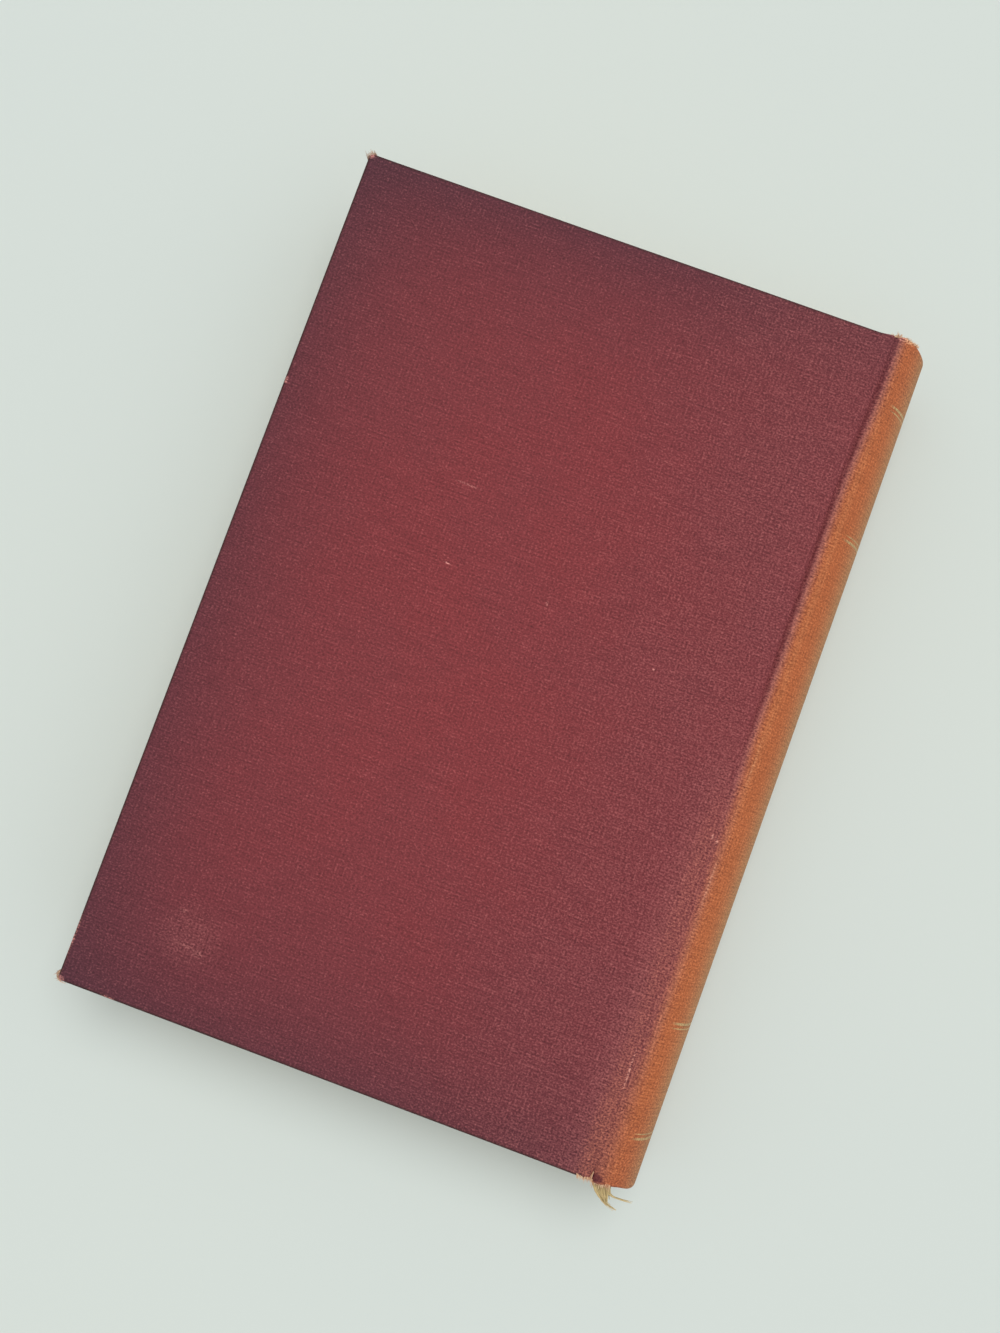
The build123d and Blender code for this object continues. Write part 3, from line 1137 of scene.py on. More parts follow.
@dataclass
class CaseCloth:
    """One half of the covering cloth: spine, joint and cover, turned in at the edges."""

    side: Side
    material: bpy.types.Material
    cloth: float = 0.35
    seam_angle: float = 2.0  # a narrow strip beside the seam keeps its border straight
    seam_chords: int = 2
    spine_chords: int = 16
    ridge_chords: int = 3
    rim_round: float = 0.6
    rim_share: float = 0.42  # most of the edge's depth that its rounding takes
    corner_round: float = 0.45
    corner_steps: int = 3
    spine_card: float = 1.4
    joint_lap: float = 0.95
    lap_change: float = 1.6  # from the spine's lap to the joint's, before the ridge
    groove_slope: float = 2.6
    board_slope: float = 1.7
    joint_steps: Sequence[float] = (  # from the ridge, closest over the crease
        0.5, 1.0, 1.4, 1.8, 2.1, 2.35, 2.6, 2.85, 3.05, 3.25, 3.45, 3.65, 3.9, 4.2, 4.6, 5.0, 5.6)
    joint_columns: Sequence[float] = (0.8, 2.0, 3.6)
    edge_columns: Sequence[float] = (5.0, 3.0, 1.6, 0.9)
    end_rows: Sequence[float] = (0.9, 1.5, 2.2, 3.1, 4.2, 5.5, 7.0, 8.6)
    row_step: float = 2.4
    column_step: float = 3.1
    bends: Sequence[float] = (30.0, 60.0, 90.0)
    turn_in_rows: Sequence[float] = (2.0, 5.0, 9.5)
    unevenness: float = 0.1
    uneven_wave: float = 46.0
    uneven_level: float = 0.4
    uneven_seed: float = 3.0
    flat_by_joint: float = 14.0
    flat_by_fore_edge: float = 10.0
    front_pattern_shift: float = 400.0
    wear: ClothWear = field(init=False)
    stations: list[Station] = field(init=False)
    rows: list[float] = field(init=False)

    def __post_init__(self) -> None:
        """Works out the wear, the cross-section and the rows."""
        self.wear = ClothWear(self.side)
        self.stations = self.section()
        self.rows = self.height_rows()

    def section(self) -> list[Station]:
        """Works out the cross-section from the middle of the spine to the fore-edge.

        Returns:
            The stations in order.
        """
        b = BOOK
        centre = Vector((b.spine_x, b.middle))
        touch = math.degrees(math.atan2(b.ridge_z - b.middle, b.ridge_x - b.spine_x))
        spine = (b.spine_x, b.middle, b.spine_radius)
        points = arc(*spine, 0.0, self.seam_angle, self.seam_chords)
        points += arc(*spine, self.seam_angle, touch, self.spine_chords)[1:]
        points += arc(b.ridge_x, b.ridge_z, b.ridge_radius, touch, 90.0, self.ridge_chords)[1:]
        runs = [0.0]
        for first, second in zip(points, points[1:]):
            runs.append(runs[-1] + (second - first).length)
        made = []
        for run, point in zip(runs, points):
            near_ridge = ease(b.ridge_x + self.lap_change, b.ridge_x, point.x)
            lap = mix(self.spine_card, self.joint_lap, near_ridge)
            behind = (point - centre).normalized() * lap
            made.append(Station(point, point - behind, b.ridge_x + runs[-1] - run))
        top = points[-1].y
        floor = b.groove_floor - self.joint_lap
        for step in self.joint_steps:
            x = b.ridge_x - step
            share = step / (b.ridge_x - b.board_shoulder)
            low = mix(floor, top - self.joint_lap, ease(b.ridge_x - self.groove_slope, b.ridge_x, x))
            low = mix(b.turned_face, low, ease(b.board_shoulder, b.board_shoulder + self.board_slope, x))
            made.append(Station(Vector((x, mix(top, b.thickness, share))), Vector((x, low)), x))
        for x in self.cover_columns():
            made.append(Station(Vector((x, b.thickness)), Vector((x, b.turned_face)), x))
        return made

    def corner_distances(self) -> list[float]:
        """Distances in from the face's border over a rounded corner."""
        return [self.corner_round * k / self.corner_steps for k in range(self.corner_steps + 1)]

    def cover_columns(self) -> list[float]:
        """Places across the cover's face, closer together near its two edges.

        Returns:
            The places from joint to fore-edge.
        """
        near_joint = [BOOK.board_shoulder - d for d in self.joint_columns]
        border = BOOK.fore_edge + self.rim_round
        near_edge = [border + d for d in (*self.edge_columns, *self.corner_distances()[::-1])]
        count = round((near_joint[-1] - near_edge[0]) / self.column_step)
        return near_joint + spaced(near_joint[-1], near_edge[0], count)[:-1] + near_edge

    def height_rows(self) -> list[float]:
        """Places along the height, closer together towards head and tail.

        Returns:
            The places from tail to head.
        """
        border = BOOK.half_height - self.rim_round
        near_end = [border - d for d in (*self.corner_distances(), *self.end_rows)]
        count = round(2 * near_end[-1] / self.row_step)
        between = spaced(-near_end[-1], near_end[-1], count)[:-1]
        return [-y for y in near_end] + between + near_end[::-1]

    def round_off(self, x: float, y: float) -> tuple[float, float, Vector]:
        """Rounds the cover's two free corners in plan.

        Args:
            x: place across.
            y: place along.

        Returns:
            The rounded place, and the way out over the nearest edge.
        """
        border = BOOK.fore_edge + self.rim_round
        limit = BOOK.half_height - self.rim_round
        out_x = (border + self.corner_round - x) / self.corner_round
        out_y = (abs(y) - limit + self.corner_round) / self.corner_round
        sign = 1 if y > 0 else -1
        if out_x > 0 and out_y > 0:
            a = out_x * math.sqrt(max(0.0, 1 - out_y**2 / 2))
            c = out_y * math.sqrt(max(0.0, 1 - out_x**2 / 2))
            x = border + self.corner_round * (1 - a)
            y = sign * (limit - self.corner_round * (1 - c))
            return x, y, Vector((-a, sign * c, 0.0)).normalized()
        outward = Vector((-1, 0, 0)) if out_x > out_y else Vector((0, sign, 0))
        return x, y, outward

    def outer(self, i: int, j: int) -> tuple[Vector, Vector, Vector, float]:
        """The cloth's outer face at a station and row, for the back half.

        Args:
            i: number of the station.
            j: number of the row.

        Returns:
            The point, the way out over the edge, the way to the turned-in edge, and
            the rim's radius there.
        """
        station = self.stations[i]
        y = self.rows[j]
        place = station.place.copy()
        if place.x < BOOK.ridge_x:
            place.y -= self.wear.crease(place.x, y)
        behind = Vector((station.inside.x - place.x, 0.0, station.inside.y - place.y))
        rim = min(self.rim_round, self.rim_share * behind.length)
        x, y, outward = self.round_off(place.x, y)
        faces_end = abs(outward.y) > 0.99
        if faces_end or x > BOOK.board_shoulder:
            y *= (BOOK.half_height - rim) / (BOOK.half_height - self.rim_round)
        lift = self.unevenness * (ripple(x, y, self.uneven_wave, self.uneven_seed) - self.uneven_level)
        lift *= ease(0.0, self.flat_by_joint, BOOK.board_shoulder - x)
        lift *= ease(0.0, self.flat_by_fore_edge, x - BOOK.fore_edge)
        y += self.wear.end_drift(x, y)
        return Vector((x, y, place.y + min(0.0, lift))), outward, behind, rim

    def ring(self, i: int, j: int, step: int) -> tuple[Vector, Vector]:
        """A point of the turned edge.

        Args:
            i: number of the station.
            j: number of the row.
            step: which ring, counted from the outer face's border.

        Returns:
            The point, and how far out on the flat cloth it lies.
        """
        point, outward, behind, rim = self.outer(i, j)
        depth = behind.length
        down = behind / depth
        upper = len(self.bends)
        if step < upper:
            angle = math.radians(self.bends[step])
            place = point + outward * rim * math.sin(angle) + down * rim * (1 - math.cos(angle))
            return place, outward * rim * angle
        if step == upper:
            return point + outward * rim + down * depth / 2, outward * depth / 2
        lower = step - upper - 1
        if lower <= upper:
            angle = math.radians((0.0, *self.bends)[lower])
            place = point + outward * rim * math.cos(angle) + down * (depth - rim * (1 - math.sin(angle)))
            return place, outward * (depth - rim + rim * angle)
        reach = (*self.turn_in_rows, BOOK.turn_in - rim)[lower - upper - 1]
        place = point + behind
        length = BOOK.board_shoulder - BOOK.fore_edge
        if place.x < BOOK.board_shoulder:
            place.x = BOOK.board_shoulder - (BOOK.board_shoulder - place.x) * (length - reach) / length
        place.y *= 1 - reach / BOOK.half_height
        return place, outward * (depth + reach)

    def build(self) -> bpy.types.Object:
        """Makes the half of the case cloth and hangs it between block and cover.

        Returns:
            The finished cloth.
        """
        grown = GrownMesh()
        bm = grown.bm
        lay = bm.verts.layers.float_vector.new("cloth_lay")
        shift = 0.0 if self.side is Side.BACK else self.front_pattern_shift
        for i, j, vert in grown.lay(len(self.stations), len(self.rows)):
            place = self.outer(i, j)[0]
            vert.co = self.side.place(*place)
            vert[lay] = Vector((self.stations[i].lay, place.y, shift))
        grown.border = [
            e for e in bm.edges if e.is_boundary and any(v[grown.column] > 0 for v in e.verts)]
        rings = 2 * len(self.bends) + 2 + len(self.turn_in_rows) + 1
        for step in range(rings):
            for i, j, vert in grown.grow():
                place, out = self.ring(i, j, step)
                start = self.outer(i, j)[0]
                vert.co = self.side.place(*place)
                vert[lay] = Vector((self.stations[i].lay, start.y, shift)) + out
        grown.drop_numbers()
        self.note_wear(bm)
        face_out(bm, Vector((0, 0, self.side.up)), self.side.place(0, 0, BOOK.thickness))
        piece = add_piece(bm, f"{self.side.value}_case_cloth", self.material)
        give_thickness(piece, self.cloth)
        bend_with_cover(piece, self.side)
        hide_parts(f"{self.side.value}_cloth", "spine_cloth")
        return piece

    def note_wear(self, bm: bmesh.types.BMesh) -> None:
        """Notes on each vertex where the cloth is faded, darkened, pressed in and rubbed.

        Args:
            bm: the cloth's mesh.
        """
        layers = {name: bm.verts.layers.float.new(name) for name in WEAR_NOTES}
        lay = bm.verts.layers.float_vector["cloth_lay"]
        for vert in bm.verts:
            u, v, _ = vert[lay]
            for name, share in self.wear.notes(u, v).items():
                vert[layers[name]] = share


# Leaves

@dataclass
class LeafBlock:
    """The sewn block of leaves: round back with shoulders, hollow fore-edge."""

    material: bpy.types.Material
    leaves: int = 92  # fewer and thicker than the real ones, to show as lines
    sections: int = 11
    notch: float = 0.07
    stray: float = 0.07
    end_stray: float = 0.03
    end_sharpness: int = 8
    section_drift: float = 0.1
    section_groove: float = 0.22
    groove_sharpness: int = 6
    fore_wave: float = 0.1
    fore_wave_length: float = 20.0
    fore_wave_area: Span = (95.0, 30.0)  # half its run along the block and up it
    fore_wave_seed: float = 5.0
    merge: float = 0.0005
    seed: int = 11
    flat_columns: int = 6
    flare_columns: int = 6
    rows: int = 13

    def place(self, level: float, i: int, j: int, draw: Sequence[float], notch: float) -> Vector:
        """A point of one leaf.

        Args:
            level: height in the block, from -1 at the front to 1 at the back.
            i: number of the column, from the fore-edge to the round back.
            j: number of the row, from tail to head.
            draw: the leaf's own small shifts at fore-edge, head and tail.
            notch: how far the edge is drawn in between two leaves.

        Returns:
            The point in millimetres.
        """
        b = BOOK
        half = b.leaf_top - b.middle
        radius = (half**2 + b.fore_edge_hollow**2) / (2 * b.fore_edge_hollow)
        deep = b.leaf_fore_edge + b.fore_edge_hollow - radius
        fore = deep + math.sqrt(radius**2 - (level * half) ** 2)
        tip = math.asin((half + b.shoulder_rise) / b.back_radius)
        turns = math.pi * self.sections * (level + 1) / 2
        groove = self.section_groove * abs(math.cos(turns)) ** self.groove_sharpness
        back = b.spine_x + (b.back_radius - groove) * math.cos(level * tip)
        back_z = b.middle + (b.back_radius - groove) * math.sin(level * tip)
        along = mix(-1.0, 1.0, j / (self.rows - 1))
        run, climb = self.fore_wave_area
        wave = ripple(along * run, level * climb, self.fore_wave_length, self.fore_wave_seed)
        fore += draw[0] + notch + self.fore_wave * wave
        if i < self.flat_columns:
            x = mix(fore, b.shoulder_foot, i / self.flat_columns)
        else:
            x = mix(b.shoulder_foot, back - notch / 2, (i - self.flat_columns) / self.flare_columns)
        flare = max(0.0, (x - b.shoulder_foot) / (back - b.shoulder_foot))
        z = b.middle + level * half
        z += (back_z - z) * flare**2
        reach = b.leaf_half_height - notch
        y = along * reach + draw[1 if along > 0 else 2] * abs(along) ** self.end_sharpness
        return Vector((x, y, z))

    def build(self) -> bpy.types.Object:
        """Makes the block with a ridge for each leaf along its three cut edges.

        Returns:
            The finished block.
        """
        rng = random.Random(self.seed)
        drift = [rng.gauss(0, self.section_drift) for _ in range(self.sections + 1)]
        draws = []
        for k in range(self.leaves):
            own = drift[k * self.sections // self.leaves]
            strays = (self.stray, self.end_stray, self.end_stray)
            fore, head, tail = (rng.gauss(0, stray) for stray in strays)
            draws.append((own + fore, head, tail))
        grown = GrownMesh()
        bm = grown.bm
        number = bm.verts.layers.float.new("leaf_number")
        columns = self.flat_columns + self.flare_columns + 1
        steps = 2 * self.leaves
        for step in range(steps, -1, -1):
            draw = draws[min(self.leaves - 1, step // 2)]
            notch = 0.0 if step % 2 else self.notch
            level = 2 * step / steps - 1
            laid = list(grown.lay(columns, self.rows)) if step in (0, steps) else []
            if step == steps:
                grown.border = [e for e in bm.edges if e.is_boundary]
            else:
                laid += grown.grow()
            for i, j, vert in laid:
                vert.co = self.place(level, i, j, draw, notch)
                vert[number] = step / 2
        bmesh.ops.remove_doubles(bm, verts=bm.verts, dist=self.merge)
        grown.drop_numbers()
        bmesh.ops.recalc_face_normals(bm, faces=bm.faces)
        piece = add_piece(bm, "leaf_block", self.material, crease=75.0)
        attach(piece, TEXT_BLOCK)
        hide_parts("page_block")
        return piece


@dataclass
class Endpaper:
    """One folded endpaper: a pastedown over the board and joint, and a loose flyleaf."""

    side: Side
    material: bpy.types.Material
    crease: float = 0.5
    clearance: float = 0.05
    cloth: float = 0.4
    mull: float = 0.25
    hinge_gap: float = 0.3  # between the pastedown's end and the ridge
    paper_share: float = 0.95  # of its place that the paper's thickness takes
    edge_tone: float = 0.5
    edge_tone_reach: float = 16.0
    gutter_x: float = 66.0
    gutter_share: float = 0.6
    side_pattern_shift: float = 60.0
    face_pattern_shift: float = 200.0
    rim_strip: float = 1.0  # narrow columns along the outer edge and beside the folds
    turned_strip: float = 4.0
    fold_strip: float = 3.0
    board_columns: int = 12
    mull_columns: int = 6
    hinge_columns: int = 12
    half_rows: Sequence[float] = (0.0, 20.0, 40.0, 60.0, 75.0)
    turned_row: float = 90.0
    fly_columns: int = 20
    shoulder_columns: int = 8
    fly_rows: int = 24

    @property
    def hinge_end(self) -> float:
        """Where the pastedown ends beside the ridge."""
        return BOOK.ridge_x - self.hinge_gap

    def fly_top(self, x: float) -> float:
        """Height of the flyleaf's free face."""
        rise = max(0.0, (x - BOOK.shoulder_foot) / (BOOK.ridge_x - BOOK.shoulder_foot))
        return BOOK.leaf_top + BOOK.endpaper + BOOK.shoulder_rise * rise**2

    def glued_face(self, x: float, y: float) -> float:
        """Height of the pastedown's free face over what is glued under it.

        Args:
            x: place across.
            y: place along.

        Returns:
            The height for the back half.
        """
        b = BOOK
        c = self.crease
        folded = max(ease(b.fold_x + 2 * c, b.fold_x, x), ease(b.window - 2 * c, b.window, abs(y)))
        mull = ease(b.mull_start - c, b.mull_start + c, x)
        mull *= ease(b.mull_half_height + c, b.mull_half_height - c, abs(y))
        if x <= b.board_edge:
            return b.turned_face + self.cloth - b.endpaper - max(self.cloth * folded, self.mull * mull)
        share = (x - b.board_edge) / (self.hinge_end - b.board_edge)
        gap = mix(self.glued_face(b.board_edge, y) - b.leaf_top - b.endpaper, self.clearance, share)
        return self.fly_top(x) + gap

    def sheet(self, name: str, across: Sequence[float], along: Sequence[float],
              face: Callable[[float, float], float], looks_up: int) -> bpy.types.Object:
        """Lays one sheet of paper.

        Args:
            name: name of the piece.
            across: places of its columns.
            along: places of its rows.
            face: height of its free face at a place.
            looks_up: 1 where that face looks out of the block, -1 into it.

        Returns:
            The sheet, with its thickness.
        """
        bm = bmesh.new()
        lay = bm.verts.layers.float_vector.new("sheet_lay")
        tone = bm.verts.layers.float.new("paper_tone")
        table = lay_grid(bm, len(across), len(along))
        for x, line in zip(across, table):
            for y, vert in zip(along, line):
                vert.co = self.side.place(x, y, face(x, y))
                shift = self.side.up * self.side_pattern_shift + looks_up * self.face_pattern_shift
                vert[lay] = Vector((x, y, shift))
                gutter = self.gutter_share * (self.gutter_x - x)
                edge = min(x - BOOK.leaf_fore_edge, BOOK.leaf_half_height - abs(y), gutter)
                vert[tone] = self.edge_tone * ease(self.edge_tone_reach, 0.0, edge)
        towards = Vector((0, 0, looks_up * self.side.up))
        face_out(bm, towards, self.side.place(0, 0, BOOK.leaf_top))
        piece = add_piece(bm, name, self.material)
        give_thickness(piece, self.paper_share * BOOK.endpaper)
        return piece

    def build(self) -> list[bpy.types.Object]:
        """Makes the pastedown with its hinge and the flyleaf.

        Returns:
            Both sheets.
        """
        b = BOOK
        c = self.crease
        outer = b.fore_edge + b.pastedown_margin
        fold_x = b.fold_x
        reach = b.half_height - b.pastedown_margin
        strip = self.fold_strip
        across = [outer, outer + self.rim_strip, fold_x - self.turned_strip]
        across += [fold_x, fold_x + c, fold_x + 2 * c, fold_x + strip]
        across += spaced(fold_x + strip, b.mull_start - strip, self.board_columns)
        across += [b.mull_start - c, b.mull_start, b.mull_start + c]
        across += spaced(b.mull_start + c, b.board_edge, self.mull_columns)
        across += spaced(b.board_edge, self.hinge_end, self.hinge_columns)
        half = [*self.half_rows, b.mull_half_height - c, b.mull_half_height, b.mull_half_height + c]
        half += [b.window - 2 * c, b.window - c, b.window, self.turned_row, reach]
        along = [-y for y in half[:0:-1]] + half
        name = self.side.value
        pastedown = self.sheet(f"{name}_pastedown_sheet", across, along, self.glued_face, -1)
        bend_with_cover(pastedown, self.side)
        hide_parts(f"{name}_pastedown")
        across = [b.leaf_fore_edge, *spaced(b.leaf_fore_edge, b.shoulder_foot, self.fly_columns)]
        across += spaced(b.shoulder_foot, b.ridge_x, self.shoulder_columns)
        along = [-b.leaf_half_height, *spaced(-b.leaf_half_height, b.leaf_half_height, self.fly_rows)]
        fly = self.sheet(f"{name}_flyleaf_sheet", across, along, lambda x, _: self.fly_top(x), 1)
        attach(fly, TEXT_BLOCK)
        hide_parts(f"{name}_flyleaf")
        return [pastedown, fly]


# Frayed places

@dataclass(frozen=True)
class Tuft:
    """A bunch of loose threads: where they leave the cloth and where they lead."""

    root_from: Point
    root_to: Point
    way: Sequence[Point]
    count: int
    spread: float
    radius: float
    shortest: float = 0.4
    gather: float = 1.0  # 1 where the threads run together, 0 where they stay side by side


@dataclass
class Fray:
    """Threads pulled loose at one worn place of the cloth."""

    name: str
    tufts: Sequence[Tuft]
    material: bpy.types.Material
    rides: Optional[str]
    seed: int
    sides: int = 4
    rings: int = 6
    taper: float = 0.75
    stray_growth: float = 1.3
    thickness_range: Span = (0.7, 1.2)

    def thread(self, bm: bmesh.types.BMesh, path: Sequence[Vector], radius: float, tone: float) -> None:
        """Draws one tapered thread along a path.

        Args:
            bm: mesh to add to.
            path: the thread's points from root to tip.
            radius: its radius at the root.
            tone: how pale it is, from 0 to 1.
        """
        runs = bm.verts.layers.float["thread_run"]
        tones = bm.verts.layers.float["thread_tone"]
        last: list[bmesh.types.BMEdge] = []
        for k, point in enumerate(path):
            ahead = path[min(k + 1, len(path) - 1)] - path[max(k - 1, 0)]
            turn = ahead.to_track_quat("Z", "Y").to_matrix().to_4x4()
            share = k / (len(path) - 1)
            size = radius * (1 - self.taper * share**2)
            ring = bmesh.ops.create_circle(bm, segments=self.sides, radius=size,
                                           cap_ends=k in (0, len(path) - 1),
                                           matrix=Matrix.Translation(point) @ turn)
            for vert in ring["verts"]:
                vert[runs], vert[tones] = share, tone
            edges = list({e for v in ring["verts"] for e in v.link_edges})
            if last:
                bmesh.ops.bridge_loops(bm, edges=last + edges)
            last = edges

    def build(self) -> bpy.types.Object:
        """Makes all threads of this place as one piece.

        Returns:
            The finished threads.
        """
        rng = random.Random(self.seed)
        bm = bmesh.new()
        bm.verts.layers.float.new("thread_run")
        bm.verts.layers.float.new("thread_tone")
        for tuft in self.tufts:
            for _ in range(tuft.count):
                root = Vector(tuft.root_from).lerp(Vector(tuft.root_to), rng.random())
                stray = Vector([rng.gauss(0, tuft.spread) for _ in range(3)])
                length = rng.uniform(tuft.shortest, 1.0)
                aside = root - (Vector(tuft.root_from) + Vector(tuft.root_to)) / 2
                stops = [root]
                for k, point in enumerate(tuft.way, 1):
                    stops.append(Vector(point) + aside * (1 - tuft.gather * k / len(tuft.way)))
                path = []
                for k in range(self.rings):
                    share = length * k / (self.rings - 1)
                    path.append(self.along(stops, share) + stray * share**self.stray_growth)
                radius = tuft.radius * rng.uniform(*self.thickness_range)
                self.thread(bm, path, radius, rng.random())
        bmesh.ops.recalc_face_normals(bm, faces=bm.faces)
        piece = add_piece(bm, self.name, self.material, crease=80.0)
        if self.rides:
            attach(piece, self.rides)
        else:
            bend_with_cover(piece, Side.BACK)
        return piece

    @staticmethod
    def along(stops: Sequence[Vector], share: float) -> Vector:
        """A point of a smooth line through the stops.

        Args:
            stops: the points it passes through.
            share: how far along it the point lies.

        Returns:
            The point.
        """
        place = share * (len(stops) - 1)
        k = min(int(place), len(stops) - 2)
        t = place - k
        before = stops[max(k - 1, 0)]
        after = stops[min(k + 2, len(stops) - 1)]
        pull = (stops[k + 1] - before) / 2
        push = (after - stops[k]) / 2
        square, cube = t * t, t * t * t
        return (stops[k] * (2 * cube - 3 * square + 1) + pull * (cube - 2 * square + t)
                + stops[k + 1] * (3 * square - 2 * cube) + push * (cube - square))


# Studio

@dataclass(frozen=True)
class Lamp:
    """One soft lamp, far away: its name, where it shines from, softness and strength."""

    name: str
    towards: Point
    softness: float
    strength: float


@dataclass
class Studio:
    """Pale table top, soft daylight from the head and the spine side, camera above."""

    horizon: str = "#d8e0da"
    camera_place: Point = (6.9, -11.4, 266.35)
    camera_target: Point = (-0.19, -0.9, 24.0)
    camera_up: Point = (-0.3436, 0.9405, 0.0)
    lens: float = 39.6
    sensor: float = 36.0
    nearest: float = 10.0
    ambient: float = 0.4
    table_half_width: float = 6000.0
    table_gap: float = 0.08
    lamps: Sequence[Lamp] = (
        Lamp("window_light", (0.05, 0.42, 0.9), 45.0, 1.64),
        Lamp("spine_side_light", (0.84, 0.1, 0.53), 70.0, 0.5),
        Lamp("fore_edge_side_light", (-0.84, 0.1, 0.53), 70.0, 0.26),
    )

    def build(self) -> None:
        """Sets up floor, world, lamps and camera."""
        self.build_table()
        self.build_world()
        for lamp in self.lamps:
            data = bpy.data.lights.new(lamp.name, "SUN")
            data.angle = math.radians(lamp.softness)
            data.energy = lamp.strength
            shown = bpy.data.objects.new(lamp.name, data)
            bpy.context.scene.collection.objects.link(shown)
            shown.rotation_euler = (-Vector(lamp.towards)).to_track_quat("-Z", "Y").to_euler()
        self.build_camera()
        bpy.context.scene.view_settings.view_transform = "Standard"

    def build_table(self) -> None:
        """Lays the table top under the book."""
        bm = bmesh.new()
        bmesh.ops.create_grid(bm, x_segments=1, y_segments=1, size=self.table_half_width)
        bmesh.ops.translate(bm, vec=(0, 0, -self.table_gap), verts=bm.verts)
        add_piece(bm, "table_top", PaintedTable().build())

    def build_world(self) -> None:
        """Fills the scene with even daylight; the camera and reflections see a pale backdrop."""
        world = bpy.data.worlds.new("daylight")
        bpy.context.scene.world = world
        world.use_nodes = True
        world.node_tree.nodes.clear()
        add = partial(wire, world.node_tree)
        rays = add("LightPath").node.outputs
        direct = add("Math", rays["Is Camera Ray"], rays["Is Glossy Ray"], operation="MAXIMUM")
        seen = add("Math", direct, rays["Is Transmission Ray"], operation="MAXIMUM")
        light = add("Background", (1.0, 1.0, 1.0, 1.0), self.ambient)
        backdrop = add("Background", linear(self.horizon), 1.0)
        add("OutputWorld", add("MixShader", seen, light, backdrop))

    def build_camera(self) -> None:
        """Places the camera as the photograph was taken."""
        data = bpy.data.cameras.new("camera")
        data.sensor_fit = "HORIZONTAL"
        data.sensor_width = self.sensor
        data.lens = self.lens
        data.clip_start = self.nearest * MM
        camera = bpy.data.objects.new("camera", data)
        bpy.context.scene.collection.objects.link(camera)
        place = Vector(self.camera_place) * MM
        forward = (Vector(self.camera_target) * MM - place).normalized()
        right = forward.cross(Vector(self.camera_up)).normalized()
        up = right.cross(forward)
        turn = Matrix((right, up, -forward)).transposed()
        camera.matrix_world = Matrix.Translation(place) @ turn.to_4x4()
        bpy.context.scene.camera = camera


def dress_solids() -> None:
    """Gives the solids that keep their shape their materials."""
    finishes = (
        (Board("pressed_strawboard", "#b59c6c", "#93794c"), ("back_board", "front_board")),
        (Board("spine_card", "#b9a98a", "#9c8a68"), ("spine_inlay",)),
        (Board("kraft_liner", "#a98558", "#8d6b43", fibre_width=1.2, fibre_length=3.0), ("spine_liner",)),
        (Mull(), ("spine_mull", "back_mull_flange", "front_mull_flange")),
    )
    for finish, names in finishes:
        material = finish.build()
        for name in names:
            node = frame["nodes"][name]
            node.data.materials.clear()
            node.data.materials.append(material)
            LOG.info("%s dressed as %s", name, material.name)


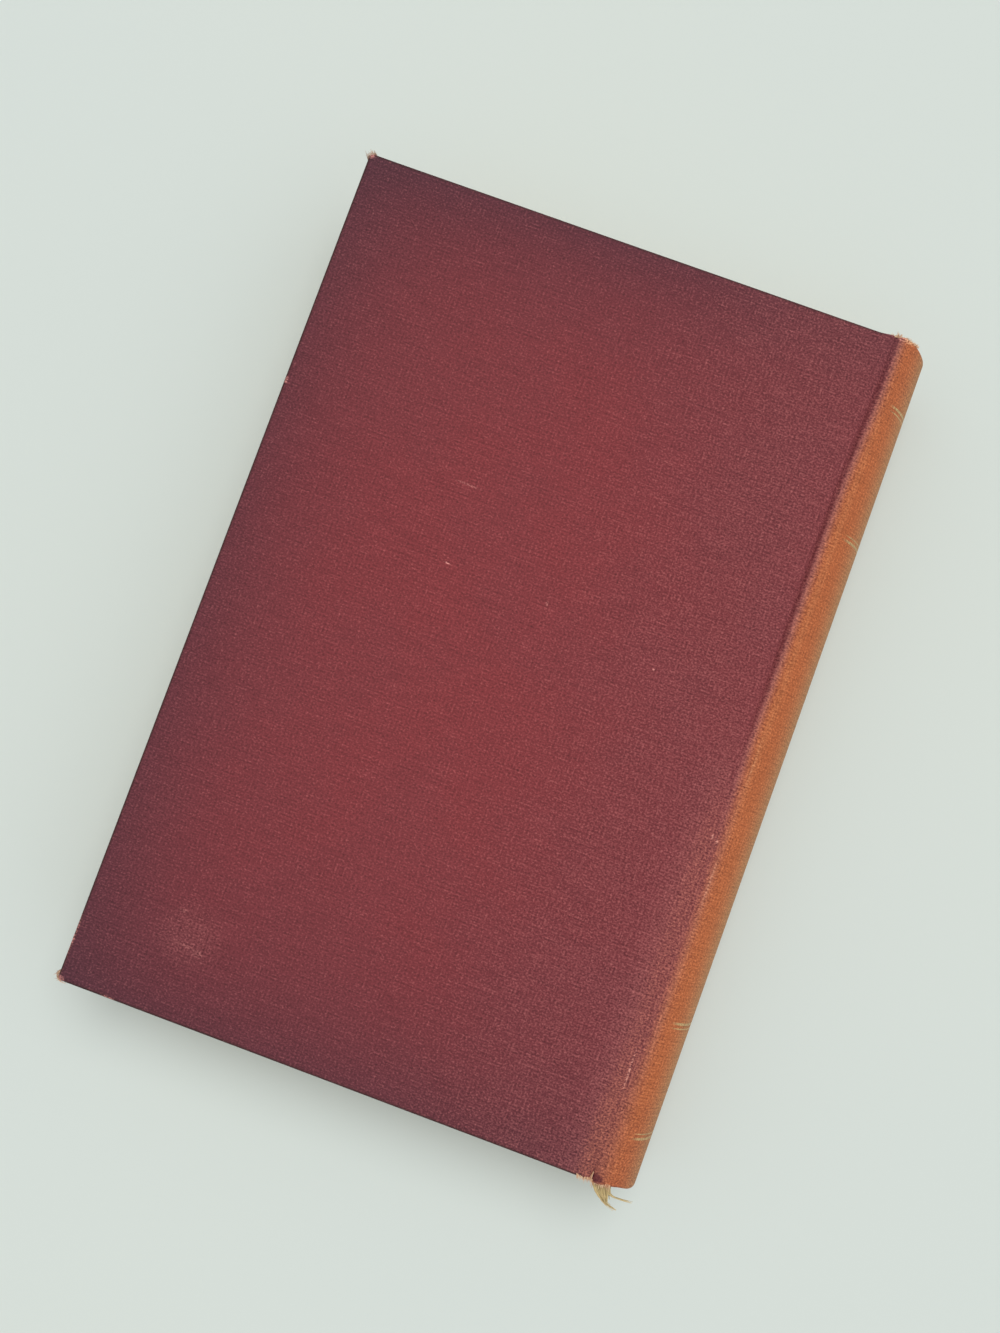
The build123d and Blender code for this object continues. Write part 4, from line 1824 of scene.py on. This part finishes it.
def frayed_places() -> list[Fray]:
    """Lists the places where threads hang loose, in millimetres.

    Returns:
        Tail tuft, tail of the joint, head cap and the back cover's two corners.
    """
    straw = LooseThread("straw_cotton_thread", "#dcc693", "#6f5a34").build()
    peach = LooseThread("peach_cotton_thread", "#efd2b0", "#bd7f5a").build()
    dusty = LooseThread("dusty_cotton_thread", "#e0c0a6", "#8a644e").build()
    cover = Side.BACK.cover
    return [
        Fray("tail_tuft", (
            Tuft((56.4, -98.6, 22.6), (60.9, -98.3, 22.9),
                 ((59.7, -100.2, 22.4), (61.1, -102.0, 21.9)),
                 count=130, spread=0.2, radius=0.14, shortest=0.55, gather=0.8),
            Tuft((56.5, -98.6, 22.6), (58.8, -98.5, 22.8),
                 ((58.9, -100.7, 22.3), (61.2, -102.5, 21.6), (64.1, -103.5, 20.9)),
                 count=36, spread=0.18, radius=0.11, shortest=0.7, gather=0.95),
            Tuft((59.4, -98.4, 22.8), (60.9, -98.3, 22.9),
                 ((61.0, -100.0, 22.5), (63.0, -100.6, 22.0), (66.8, -100.5, 21.4)),
                 count=22, spread=0.14, radius=0.1, shortest=0.7, gather=0.95),
        ), straw, rides=None, seed=3),
        Fray("tail_joint_fray", (
            Tuft((52.8, -97.9, 23.95), (56.0, -97.9, 23.6), ((54.6, -98.9, 23.75),),
                 count=60, spread=0.3, radius=0.09, shortest=0.4, gather=0.1),
            Tuft((56.3, -96.4, 23.4), (55.9, -97.6, 23.4), ((56.1, -98.2, 23.4), (56.4, -99.0, 23.0)),
                 count=16, spread=0.22, radius=0.05, shortest=0.3, gather=0.5),
            Tuft((59.2, -95.8, 23.5), (59.6, -97.4, 23.5), ((59.7, -98.0, 23.5), (59.9, -99.0, 23.1)),
                 count=18, spread=0.22, radius=0.05, shortest=0.3, gather=0.5),
            Tuft((56.2, -98.2, 23.2), (60.6, -97.9, 23.6), ((58.5, -99.2, 23.4),),
                 count=80, spread=0.34, radius=0.09, shortest=0.4, gather=0.1),
        ), peach, rides=None, seed=5),
        Fray("head_cap_fray", (
            Tuft((56.4, 98.6, 23.3), (60.4, 98.9, 23.4), ((58.5, 99.35, 23.5),),
                 count=90, spread=0.22, radius=0.06, shortest=0.3, gather=0.1),
            Tuft((57.9, 98.9, 23.4), (58.7, 98.9, 23.4), ((58.3, 99.7, 23.4),),
                 count=18, spread=0.3, radius=0.06, shortest=0.4, gather=0.2),
            Tuft((60.2, 98.9, 23.4), (63.6, 98.7, 21.6), ((62.0, 99.35, 22.6),),
                 count=110, spread=0.22, radius=0.06, shortest=0.3, gather=0.1),
        ), peach, rides=TEXT_BLOCK, seed=7),
        Fray("head_corner_fray", (
            Tuft((-67.9, 97.0, 22.8), (-66.2, 98.7, 22.8), ((-68.1, 98.8, 23.3),),
                 count=90, spread=0.36, radius=0.06, shortest=0.4, gather=0.4),
        ), dusty, rides=cover, seed=9),
        Fray("tail_corner_fray", (
            Tuft((-67.8, -96.3, 23.3), (-67.5, -97.2, 23.6),
                 ((-68.2, -97.5, 23.6), (-67.2, -98.5, 23.6), (-65.6, -98.6, 23.3)),
                 count=26, spread=0.22, radius=0.08, shortest=0.5, gather=0.6),
            Tuft((-67.9, -96.9, 22.8), (-66.8, -98.6, 22.8), ((-68.3, -98.1, 23.3),),
                 count=50, spread=0.3, radius=0.06, shortest=0.4, gather=0.4),
        ), dusty, rides=cover, seed=13),
    ]


def main() -> None:
    """Builds the book and its studio, piece by piece."""
    logging.basicConfig(level=logging.INFO, format="%(name)s: %(message)s")
    Studio().build()
    dress_solids()
    cloth = Bookcloth().build()
    leaf_edges = Paper("toned_leaf_edges", "#efdab6", "#c6a179", edged=True).build()
    endpaper = Paper("toned_endpaper", "#ecdfc6", "#cfb690").build()
    pieces = [CaseCloth(side, cloth).build() for side in Side]
    pieces.append(LeafBlock(leaf_edges).build())
    for side in Side:
        pieces += Endpaper(side, endpaper).build()
    pieces += [fray.build() for fray in frayed_places()]
    for piece in pieces:
        LOG.info("%s made with %d faces", piece.name, len(piece.data.polygons))


if __name__ == "__main__":
    main()
